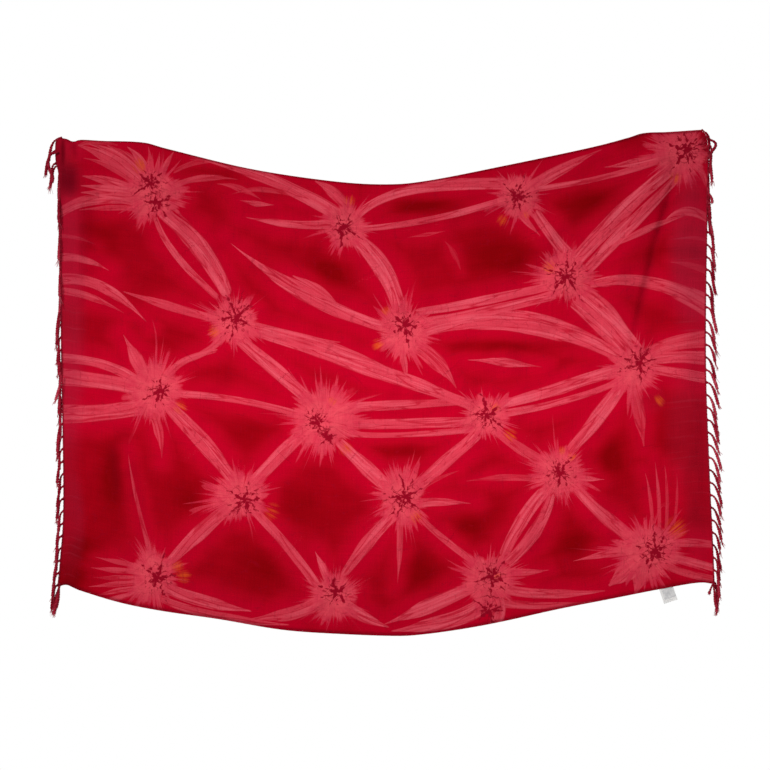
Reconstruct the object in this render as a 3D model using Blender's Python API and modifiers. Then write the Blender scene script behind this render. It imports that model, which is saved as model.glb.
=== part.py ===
"""A tie-dye sarong: one thin sheet of cloth with a knotted fringe on each short side and a small
blank satin label. It hangs by the two ends of its top hem, so the hem sags between them.

Units are metres. +Z is up, +X runs along the cloth to the right and -Y is its dyed front.
The origin is on the top hem, in the middle of the stretch that is held at the left.
"""

import itertools
import math

import bmesh
import bpy
import numpy as np

# The cloth as it was cut
CLOTH_DROP = 1.15
CLOTH_THICKNESS = 0.0012
HEM_WIDTH = 0.007
HEM_THICKNESS = 0.0024
HEM_SHOULDER = 1.3

# The cloth as it hangs. Each row is a point of an edge, left to right or top to bottom.
TOP_HEM = (
    # across, height
    (-0.112, 0.005),
    (-0.060, 0.002),
    (0.000, 0.000),
    (0.098, -0.004),
    (0.168, -0.022),
    (0.372, -0.071),
    (0.576, -0.102),
    (0.717, -0.111),
    (0.831, -0.101),
    (1.035, -0.061),
    (1.239, -0.018),
    (1.336, 0.007),
    (1.380, 0.020),
    (1.443, 0.023),
    (1.527, 0.029),
)
BOTTOM_HEM = (
    # across, height
    (-0.117, -1.140),
    (-0.095, -1.136),
    (-0.055, -1.152),
    (0.066, -1.186),
    (0.270, -1.220),
    (0.474, -1.251),
    (0.704, -1.265),
    (0.831, -1.260),
    (1.035, -1.225),
    (1.239, -1.181),
    (1.443, -1.141),
    (1.558, -1.125),
)
LEFT_SIDE = (
    # across, height
    (-0.112, 0.005),
    (-0.110, -0.166),
    (-0.107, -0.545),
    (-0.101, -0.915),
    (-0.110, -1.070),
    (-0.117, -1.140),
)
RIGHT_SIDE = (
    # across, height
    (1.527, 0.029),
    (1.543, -0.003),
    (1.540, -0.150),
    (1.535, -0.533),
    (1.543, -0.813),
    (1.553, -1.017),
    (1.558, -1.125),
)

# The main folds. A row is a line from its start to its end, bowed downwards by its sag at the
# middle. Rise is how far the cloth stands forward along that line, or back where it is negative.
FOLDS = (
    # start across, start height, end across, end height, sag, half width, rise
    (0.098, -0.010, 1.378, 0.010, 0.185, 0.034, 0.009),
    (0.090, -0.010, 1.385, 0.010, 0.400, 0.045, 0.013),
    (0.020, -0.010, 1.420, 0.010, 0.640, 0.062, 0.010),
    (1.490, -0.030, 1.360, -0.500, 0.000, 0.030, -0.011),
    (1.440, -0.010, 1.255, -0.520, 0.000, 0.036, 0.009),
    (0.040, -0.010, 0.330, -0.420, 0.000, 0.036, 0.009),
    (-0.062, -0.020, -0.068, -0.420, 0.000, 0.028, 0.012),
    (-0.015, -0.030, -0.020, -0.360, 0.000, 0.028, -0.008),
    (0.045, -0.680, 0.118, -1.120, 0.000, 0.034, -0.008),
    (1.480, -0.420, 1.500, -1.090, 0.000, 0.036, 0.010),
    (0.340, -0.470, 0.560, -0.700, 0.000, 0.034, 0.006),
    (0.790, -0.860, 0.980, -1.080, 0.000, 0.036, -0.006),
    (1.200, -0.780, 1.020, -1.080, 0.000, 0.036, 0.006),
)
FOLD_FADE = 0.7
# The waves of the bottom hem, which die out upwards
BOTTOM_RIPPLES = (
    # wavelength, rise, start of the wave
    (0.410, 0.005, 0.00),
    (0.270, 0.003, 0.11),
)
BOTTOM_RIPPLE_REACH = 0.30
# Both sides curl back a little at their cut edges
SIDE_CURL = 0.004
SIDE_CURL_REACH = 0.035

# Cells of the sheet along its length, and down its drop between the hems
CELLS_ALONG = 48
CELLS_DOWN = 32

# The fringe: one knotted strand every pitch, twisted from the cloth's own yarns
FRINGE_PITCH = 0.0319
FIRST_ROOT = 0.012
LAST_ROOT = 0.004
STRAND_LENGTH = 0.080
STRAND_RADIUS = 0.0026
STRAND_SHAPE = (
    # share of the length, radius as a share of the strand's
    (0.00, 0.90),
    (0.07, 0.90),
    (0.14, 0.92),
    (0.25, 0.95),
    (0.48, 1.05),
    (0.73, 1.05),
    (0.80, 1.45),
    (0.87, 1.10),
    (1.00, 0.75),
)
ROOT_RADIUS = 0.0015
ROOT_GAP = 0.0004
# Neighbours take one of three lanes, behind, level with and in front of the cloth's edge
LANE_SPACING = 0.007
LANE_REACHED_AT = 0.007
# How unlike each other the strands are
BEND_SPREAD = (0.90, 1.15)
LEAN_SPREAD = (-1.0, 4.0)
LENGTH_SPREAD = (0.92, 1.08)
TRACE_STEPS = 200
# How the strands of a side hang. Each leaves the side level, turns down over its bending length
# and then hangs at its end lean, outwards from upright or, below zero, back towards the cloth.
LEFT_HANG = (
    # way down, bending length, end lean in degrees
    (0.00, 0.016, 5.0),
    (0.04, 0.014, 8.0),
    (0.10, 0.006, 1.0),
    (0.38, 0.006, 2.0),
    (0.44, 0.010, 6.0),
    (0.58, 0.007, 4.0),
    (0.80, 0.009, 8.0),
    (1.00, 0.009, 5.0),
)
RIGHT_HANG = (
    # way down, bending length, end lean in degrees
    (0.00, 0.012, -14.0),
    (0.06, 0.006, 0.0),
    (0.15, 0.006, 2.0),
    (0.21, 0.012, 9.0),
    (0.50, 0.013, 13.0),
    (0.85, 0.012, 12.0),
    (0.93, 0.008, 6.0),
    (1.00, 0.006, 0.0),
)

# The satin label sewn behind the bottom hem
LABEL_WIDTH = 0.036
LABEL_LENGTH = 0.048
LABEL_TUCKED = 0.012
LABEL_THICKNESS = 0.001
LABEL_ACROSS = 1.437
LABEL_TURN = math.radians(18)
LABEL_CURL = 0.006
LABEL_GAP = 0.0004
LABEL_CELLS = (4, 8)

WELD = 0.00001

DYED_RED = (0.46, 0.009, 0.022)
FRINGE_RED = (0.30, 0.010, 0.022)
SATIN_WHITE = (0.86, 0.86, 0.84)


def smooth_line(points, steps=24):
    """A smooth curve through a table's points, as a dense row of points."""
    p = np.array(points)
    padded = np.vstack([2 * p[0] - p[1], p, 2 * p[-1] - p[-2]])
    t = np.linspace(0, 1, steps, endpoint=False)[:, None]
    pieces = []
    for a, b, c, d in zip(padded, padded[1:], padded[2:], padded[3:]):
        pieces.append(
            b + 0.5 * t * (c - a + t * (2 * a - 5 * b + 4 * c - d + t * (3 * (b - c) + d - a)))
        )
    return np.vstack([*pieces, p[-1:]])


def edge(points):
    """A function that gives the point at a share of the way along an edge."""
    line = smooth_line(points)
    travelled = np.concatenate([[0], np.cumsum(np.linalg.norm(np.diff(line, axis=0), axis=1))])
    share = travelled / travelled[-1]
    return lambda s: np.stack([np.interp(s, share, line[:, k]) for k in range(2)], axis=-1)


top, bottom, left, right = (edge(t) for t in (TOP_HEM, BOTTOM_HEM, LEFT_SIDE, RIGHT_SIDE))
hem_line = smooth_line(BOTTOM_HEM)


def hung(along, down):
    """Where a point of the cloth hangs, across and in height, from its shares of length and drop."""
    along, down = (np.asarray(s, float)[..., None] for s in (along, down))
    a, d = along[..., 0], down[..., 0]
    between_hems = (1 - down) * top(a) + down * bottom(a)
    between_sides = (1 - along) * left(d) + along * right(d)
    corners = (1 - down) * ((1 - along) * top(0.0) + along * top(1.0)) + down * (
        (1 - along) * bottom(0.0) + along * bottom(1.0)
    )
    return between_hems + between_sides - corners


def fold_height(across, height, fold):
    """How far one fold stands forward at a point."""
    x0, z0, x1, z1, sag, half_width, rise = fold
    run, fall = x1 - x0, z1 - z0
    way = ((across - x0) * run + (height - z0) * fall) / (run**2 + fall**2)
    way = np.clip(way, 0, 1)
    line_across = x0 + way * run
    line_height = z0 + way * fall - sag * 4 * way * (1 - way)
    aside = np.hypot(across - line_across, height - line_height)
    return rise * np.sin(np.pi * way) ** FOLD_FADE * np.exp(-((aside / half_width) ** 2))


def relief(across, height):
    """How far forward of the hanging plane the cloth stands at a point."""
    folds = sum(fold_height(across, height, fold) for fold in FOLDS)
    ripples = sum(
        rise * np.sin(2 * np.pi * (across - start) / length) for length, rise, start in BOTTOM_RIPPLES
    )
    above_hem = height - np.interp(across, hem_line[:, 0], hem_line[:, 1])
    near_hem = 1 - np.clip(above_hem / BOTTOM_RIPPLE_REACH, 0, 1)
    insets = across - LEFT_SIDE[2][0], RIGHT_SIDE[3][0] - across
    curl = sum(np.exp(-np.maximum(inset, 0) / SIDE_CURL_REACH) for inset in insets)
    return folds + ripples * near_hem**2 - SIDE_CURL * curl


def cloth_point(along, down):
    """A point on the middle of the sheet's thickness, in the row frame."""
    across, height = np.moveaxis(hung(along, down), -1, 0)
    return np.stack([across, -relief(across, height), height], axis=-1)


def row_shares():
    """Shares of the drop at which the sheet has a row of points, with two rows at each hem."""
    hem = HEM_WIDTH / CLOTH_DROP
    between = np.linspace(HEM_SHOULDER * hem, 1 - HEM_SHOULDER * hem, CELLS_DOWN + 1)
    return [0.0, hem, *between, 1 - hem, 1.0]


def material(name, colour, roughness):
    """A plain material of a named colour."""
    made = bpy.data.materials.new(name)
    made.use_nodes = True
    shader = made.node_tree.nodes["Principled BSDF"]
    shader.inputs["Base Color"].default_value = (*colour, 1)
    shader.inputs["Roughness"].default_value = roughness
    shader.inputs["Metallic"].default_value = 0
    made.diffuse_color = (*colour, 1)
    return made


def place(name, mesh, collection, finish):
    """A new object of a mesh, in the collection, with its material."""
    made = bpy.data.objects.new(name, mesh)
    mesh.materials.clear()
    mesh.materials.append(finish)
    collection.objects.link(made)
    return made


def sheet(name, alongs, downs, point):
    """A grid of faces whose points a function places by their two shares. Its front is -Y."""
    grid = bmesh.new()
    bmesh.ops.create_grid(grid, x_segments=len(alongs) - 1, y_segments=len(downs) - 1, size=1)
    for vertex, (down, along) in zip(grid.verts, itertools.product(reversed(downs), alongs)):
        vertex.co = point(along, down)
    mesh = bpy.data.meshes.new(name)
    grid.to_mesh(mesh)
    grid.free()
    mesh.shade_smooth()
    return mesh


def thicken(obj, thickness):
    """Gives an open sheet its thickness, half of it on each side."""
    shell = obj.modifiers.new("thickness", "SOLIDIFY")
    shell.thickness = thickness
    shell.offset = 0
    return shell


def make_cloth(collection, finish):
    """The sheet, thicker along its two rolled hems."""
    alongs, downs = list(np.linspace(0, 1, CELLS_ALONG + 1)), row_shares()
    cloth = place("cloth", sheet("cloth", alongs, downs, cloth_point), collection, finish)
    hem_points = cloth.vertex_groups.new(name="hems")
    hem_rows = (0, 1, len(downs) - 2, len(downs) - 1)
    hem_points.add([row * len(alongs) + k for row in hem_rows for k in range(len(alongs))], 1.0, "ADD")
    shell = thicken(cloth, HEM_THICKNESS)
    shell.vertex_group = hem_points.name
    shell.thickness_vertex_group = CLOTH_THICKNESS / HEM_THICKNESS
    return cloth


def strand_line(root, outwards, bending_length, end_lean, lane):
    """A function that gives the point at a distance along a strand."""
    steps, step = np.linspace(0, LENGTH_SPREAD[1] * STRAND_LENGTH, TRACE_STEPS, retstep=True)
    lean = end_lean + (math.pi / 2 - end_lean) * np.exp(-steps / bending_length)
    out = np.cumsum(np.sin(lean)) * step
    fall = np.cumsum(np.cos(lean)) * step
    aside = np.clip(steps / LANE_REACHED_AT, 0, 1)
    line = np.stack([outwards * out, lane * aside**2 * (3 - 2 * aside), -fall], axis=1)
    line += root - line[0]
    return lambda at: np.stack([np.interp(at, steps, line[:, k]) for k in range(3)], axis=-1)


def tubes(name, lines, radius):
    """A closed mesh of four-sided tubes, each along its points with a radius factor for each."""
    curve = bpy.data.curves.new(name, "CURVE")
    curve.dimensions = "3D"
    curve.bevel_depth = radius
    curve.bevel_resolution = 0
    curve.use_fill_caps = True
    for points, factors in lines:
        spline = curve.splines.new("POLY")
        spline.points.add(len(points) - 1)
        for control, point, factor in zip(spline.points, points, factors):
            control.co = (*point, 1)
            control.radius = factor
    holder = bpy.data.objects.new(name, curve)
    bpy.context.scene.collection.objects.link(holder)
    graph = bpy.context.evaluated_depsgraph_get()
    mesh = bpy.data.meshes.new_from_object(holder.evaluated_get(graph))
    bpy.data.objects.remove(holder)
    welded = bmesh.new()
    welded.from_mesh(mesh)
    bmesh.ops.remove_doubles(welded, verts=welded.verts, dist=WELD)
    bmesh.ops.recalc_face_normals(welded, faces=welded.faces)
    welded.to_mesh(mesh)
    welded.free()
    return mesh


def root_line(along, outwards):
    """The line down a side where its fringe is rooted, just clear of the cloth's cut edge."""
    downs = np.array(row_shares())
    line = cloth_point(np.full_like(downs, along), downs)
    tangent = np.gradient(line, axis=0)
    normal = np.stack([-tangent[:, 2], np.zeros(len(line)), tangent[:, 0]], axis=1)
    normal *= outwards * np.sign(normal[:, :1]) / np.linalg.norm(normal, axis=1)[:, None]
    return line + normal * (ROOT_GAP + ROOT_RADIUS)


def make_fringe(name, along, outwards, hang, seed, collection, cutters, finish):
    """One side's fringe: the twined root that the strands leave, and the strands, as one body."""
    root = root_line(along, outwards)
    travelled = np.concatenate([[0], np.cumsum(np.linalg.norm(np.diff(root, axis=0), axis=1))])
    chance = np.random.default_rng(seed)
    ways, bends, leans = np.array(hang).T
    shares, factors = np.array(STRAND_SHAPE).T
    strands = []
    first, last = FIRST_ROOT, travelled[-1] - LAST_ROOT
    for i, at in enumerate(np.linspace(first, last, round((last - first) / FRINGE_PITCH) + 1)):
        way = at / travelled[-1]
        start = np.array([np.interp(at, travelled, root[:, k]) for k in range(3)])
        bend = np.interp(way, ways, bends) * chance.uniform(*BEND_SPREAD)
        lean = math.radians(np.interp(way, ways, leans) + chance.uniform(*LEAN_SPREAD))
        line = strand_line(start, outwards, bend, lean, LANE_SPACING * (1 - i % 3))
        length = STRAND_LENGTH * chance.uniform(*LENGTH_SPREAD)
        strands.append((line(shares * length), factors))
    strip = tubes(name, [(root, [1.0] * len(root))], ROOT_RADIUS)
    fringe = place(name, strip, collection, finish)
    joined = place(name + "_strands", tubes(name + "_strands", strands, STRAND_RADIUS), cutters, finish)
    joined.hide_render = True
    joined.display_type = "WIRE"
    union = fringe.modifiers.new("strands", "BOOLEAN")
    union.operation = "UNION"
    union.object = joined
    return fringe


def make_label(collection, finish):
    """The satin label: its top tucked behind the bottom hem, its free end curling forward."""
    hem_height = np.interp(LABEL_ACROSS, hem_line[:, 0], hem_line[:, 1])
    behind_cloth = (HEM_THICKNESS + LABEL_THICKNESS) / 2 + LABEL_GAP
    cosine, sine = math.cos(LABEL_TURN), math.sin(LABEL_TURN)

    def point(along, down):
        x, z = (along - 0.5) * LABEL_WIDTH, LABEL_TUCKED - down * LABEL_LENGTH
        across, height = LABEL_ACROSS + x * cosine - z * sine, hem_height + x * sine + z * cosine
        free = max(0.0, -z / (LABEL_LENGTH - LABEL_TUCKED))
        cloth_back = -relief(across, max(height, hem_height))
        return (across, cloth_back + behind_cloth - LABEL_CURL * free**2, height)

    alongs, downs = (list(np.linspace(0, 1, cells + 1)) for cells in LABEL_CELLS)
    label = place("care_label", sheet("care_label", alongs, downs, point), collection, finish)
    thicken(label, LABEL_THICKNESS)
    return label


def main():
    for obj in list(bpy.data.objects):
        bpy.data.objects.remove(obj)
    sarong = bpy.data.collections.new("tie_dye_sarong")
    cutters = bpy.data.collections.new("joined_shapes")
    bpy.context.scene.collection.children.link(sarong)
    bpy.context.scene.collection.children.link(cutters)
    dyed = material("dyed_cloth", DYED_RED, 0.85)
    yarn = material("fringe_yarn", FRINGE_RED, 0.9)
    satin = material("label_satin", SATIN_WHITE, 0.45)
    make_cloth(sarong, dyed)
    make_fringe("fringe_left", 0.0, -1, LEFT_HANG, 3, sarong, cutters, yarn)
    make_fringe("fringe_right", 1.0, 1, RIGHT_HANG, 7, sarong, cutters, yarn)
    make_label(sarong, satin)


main()
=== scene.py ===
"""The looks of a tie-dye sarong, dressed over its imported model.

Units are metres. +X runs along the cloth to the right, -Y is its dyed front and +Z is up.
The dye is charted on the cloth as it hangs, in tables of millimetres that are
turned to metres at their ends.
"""

import functools
import math

import bpy
import numpy as np
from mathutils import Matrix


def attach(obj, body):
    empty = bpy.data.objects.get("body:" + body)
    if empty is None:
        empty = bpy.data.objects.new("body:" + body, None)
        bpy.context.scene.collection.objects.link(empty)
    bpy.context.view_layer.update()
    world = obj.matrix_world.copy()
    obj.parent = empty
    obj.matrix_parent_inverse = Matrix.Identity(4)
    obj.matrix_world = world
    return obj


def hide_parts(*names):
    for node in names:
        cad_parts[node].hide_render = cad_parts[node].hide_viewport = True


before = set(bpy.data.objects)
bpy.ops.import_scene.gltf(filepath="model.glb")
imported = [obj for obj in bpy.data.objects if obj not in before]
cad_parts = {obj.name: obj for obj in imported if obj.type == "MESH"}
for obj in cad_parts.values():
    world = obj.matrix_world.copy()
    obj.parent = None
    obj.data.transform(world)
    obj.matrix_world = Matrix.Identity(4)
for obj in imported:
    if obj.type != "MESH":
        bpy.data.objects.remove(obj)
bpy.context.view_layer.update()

# The cloth as it was cut: its length between the fringes and its drop between the hems
CLOTH_LENGTH = 1.70
CLOTH_DROP = 1.15

# The cloth as it hangs. Each row is a point of an edge, left to right or top to bottom.
TOP_HEM = (
    # across, height
    (-0.108, 0.008),
    (-0.095, 0.005),
    (-0.082, -0.001),
    (-0.068, 0.000),
    (-0.056, 0.003),
    (0.000, 0.000),
    (0.098, -0.004),
    (0.168, -0.022),
    (0.372, -0.071),
    (0.576, -0.102),
    (0.717, -0.111),
    (0.831, -0.101),
    (1.035, -0.061),
    (1.239, -0.018),
    (1.336, 0.007),
    (1.380, 0.020),
    (1.443, 0.023),
    (1.527, 0.029),
)
BOTTOM_HEM = (
    # across, height
    (-0.117, -1.140),
    (-0.095, -1.136),
    (-0.055, -1.152),
    (0.066, -1.186),
    (0.270, -1.220),
    (0.474, -1.251),
    (0.704, -1.265),
    (0.831, -1.260),
    (1.035, -1.225),
    (1.239, -1.181),
    (1.443, -1.142),
    (1.520, -1.130),
    (1.558, -1.133),
)
LEFT_SIDE = (
    # across, height
    (-0.108, 0.008),
    (-0.118, 0.004),
    (-0.122, -0.012),
    (-0.121, -0.052),
    (-0.114, -0.085),
    (-0.110, -0.166),
    (-0.107, -0.545),
    (-0.101, -0.915),
    (-0.110, -1.070),
    (-0.117, -1.140),
)
RIGHT_SIDE = (
    # across, height
    (1.527, 0.029),
    (1.543, -0.003),
    (1.540, -0.150),
    (1.535, -0.533),
    (1.543, -0.813),
    (1.553, -1.017),
    (1.558, -1.133),
)

# The main folds. A row is a line from its start to its end, bowed downwards by its sag at the
# middle. Rise is how far the cloth stands forward along that line, or back where it is negative.
FOLDS = (
    # start across, start height, end across, end height, sag, half width, rise
    (0.098, -0.010, 1.378, 0.010, 0.185, 0.034, 0.009),
    (0.090, -0.010, 1.385, 0.010, 0.400, 0.045, 0.013),
    (0.020, -0.010, 1.420, 0.010, 0.640, 0.062, 0.010),
    (1.490, -0.030, 1.360, -0.500, 0.000, 0.030, -0.011),
    (1.440, -0.010, 1.255, -0.520, 0.000, 0.036, 0.009),
    (0.040, -0.010, 0.330, -0.420, 0.000, 0.036, 0.009),
    (-0.062, -0.020, -0.068, -0.420, 0.000, 0.028, 0.012),
    (-0.015, -0.030, -0.020, -0.360, 0.000, 0.028, -0.008),
    (0.045, -0.680, 0.118, -1.120, 0.000, 0.034, -0.008),
    (1.480, -0.420, 1.500, -1.090, 0.000, 0.036, 0.010),
    (0.340, -0.470, 0.560, -0.700, 0.000, 0.034, 0.006),
    (0.790, -0.860, 0.980, -1.080, 0.000, 0.036, -0.006),
    (1.200, -0.780, 1.020, -1.080, 0.000, 0.036, 0.006),
)
FOLD_FADE = 0.7
# The waves of the bottom hem, which die out upwards
BOTTOM_RIPPLES = (
    # wavelength, rise, start of the wave
    (0.410, 0.005, 0.00),
    (0.270, 0.003, 0.11),
)
BOTTOM_RIPPLE_REACH = 0.30
# Both sides curl back a little at their cut edges
SIDE_CURL = 0.004
SIDE_CURL_REACH = 0.035
CURL_SIDES = (-0.107, 1.535)

# Points of the sheet along its length, and down its drop between the hems
SHEET_COLUMNS = 400
SHEET_ROWS = 212
# The hem is folded to the back: from its tucked-in edge, round the fold and on to the front
HEM_PROFILE = (
    # inwards from the hem's edge, behind the sheet
    (0.0062, 0.0006),
    (0.0066, 0.0012),
    (0.0058, 0.0019),
    (0.0034, 0.0022),
    (0.0014, 0.0021),
    (0.0003, 0.0016),
    (0.0000, 0.0010),
    (0.0003, 0.0003),
    (0.0012, -0.0003),
    (0.0032, -0.0005),
    (0.0050, 0.0001),
    (0.0068, 0.0000),
)
# The hem puckers a little between its stitches, and this fades out inwards
HEM_PUCKER = 0.0004
HEM_PUCKER_LENGTH = 0.019
PUCKER_REACH = (0.004, 0.012)
# The small waves of slack cloth, which die out at its edges
SLACK_WAVES = 26
SLACK_WAVELENGTHS = (0.045, 0.170)
SLACK_RISE = 0.00042
SLACK_SEED = 11
EDGE_CALM = (0.010, 0.055)
# What the binding leaves: each burst is pleated round its knot, each gather is a low ridge
BURST_SWELL = 0.0030
BURST_PLEAT = 0.0018
BURST_PLEATS = (7, 12)
BURST_SEED = 5
GATHER_RIDGE = 0.0022
# Only gathers wider than this at their middle, in millimetres, stand up as ridges
RIDGE_FROM_WIDTH = 7
# How far out the swelling and the pleats of a burst die away, in its radii
SWELL_SPREAD = 0.75
PLEAT_SPREAD = 1.1

# The bursts, where the cloth was bound. The pale patch round each knot is an oval.
BURSTS = np.array((
    # across, height, half width, half height
    (128, -138, 74, 59),
    (618, -220, 49, 56),
    (1058, -141, 54, 56),
    (1477, -33, 66, 64),
    (332, -463, 64, 54),
    (762, -491, 64, 64),
    (1178, -350, 66, 59),
    (130, -636, 69, 69),
    (560, -713, 79, 77),
    (976, -705, 59, 51),
    (1354, -585, 54, 59),
    (348, -910, 64, 56),
    (762, -910, 56, 69),
    (1163, -851, 59, 61),
    (125, -1112, 56, 69),
    (588, -1168, 59, 56),
    (984, -1124, 64, 66),
    (1390, -1050, 79, 66),
)) / 1000
# The knots' dark marks. A burst may have two.
KNOTS = np.array((
    # across, height, reach
    (120, -107, 60),
    (135, -161, 55),
    (611, -225, 60),
    (1055, -143, 60),
    (1487, -23, 75),
    (337, -450, 80),
    (769, -473, 75),
    (1181, -345, 80),
    (143, -641, 60),
    (547, -716, 60),
    (572, -756, 40),
    (979, -700, 70),
    (1370, -565, 70),
    (360, -917, 70),
    (769, -912, 80),
    (1165, -846, 70),
    (138, -1114, 70),
    (593, -1153, 65),
    (992, -1114, 75),
    (984, -1201, 55),
    (1408, -1045, 85),
)) / 1000
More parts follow.
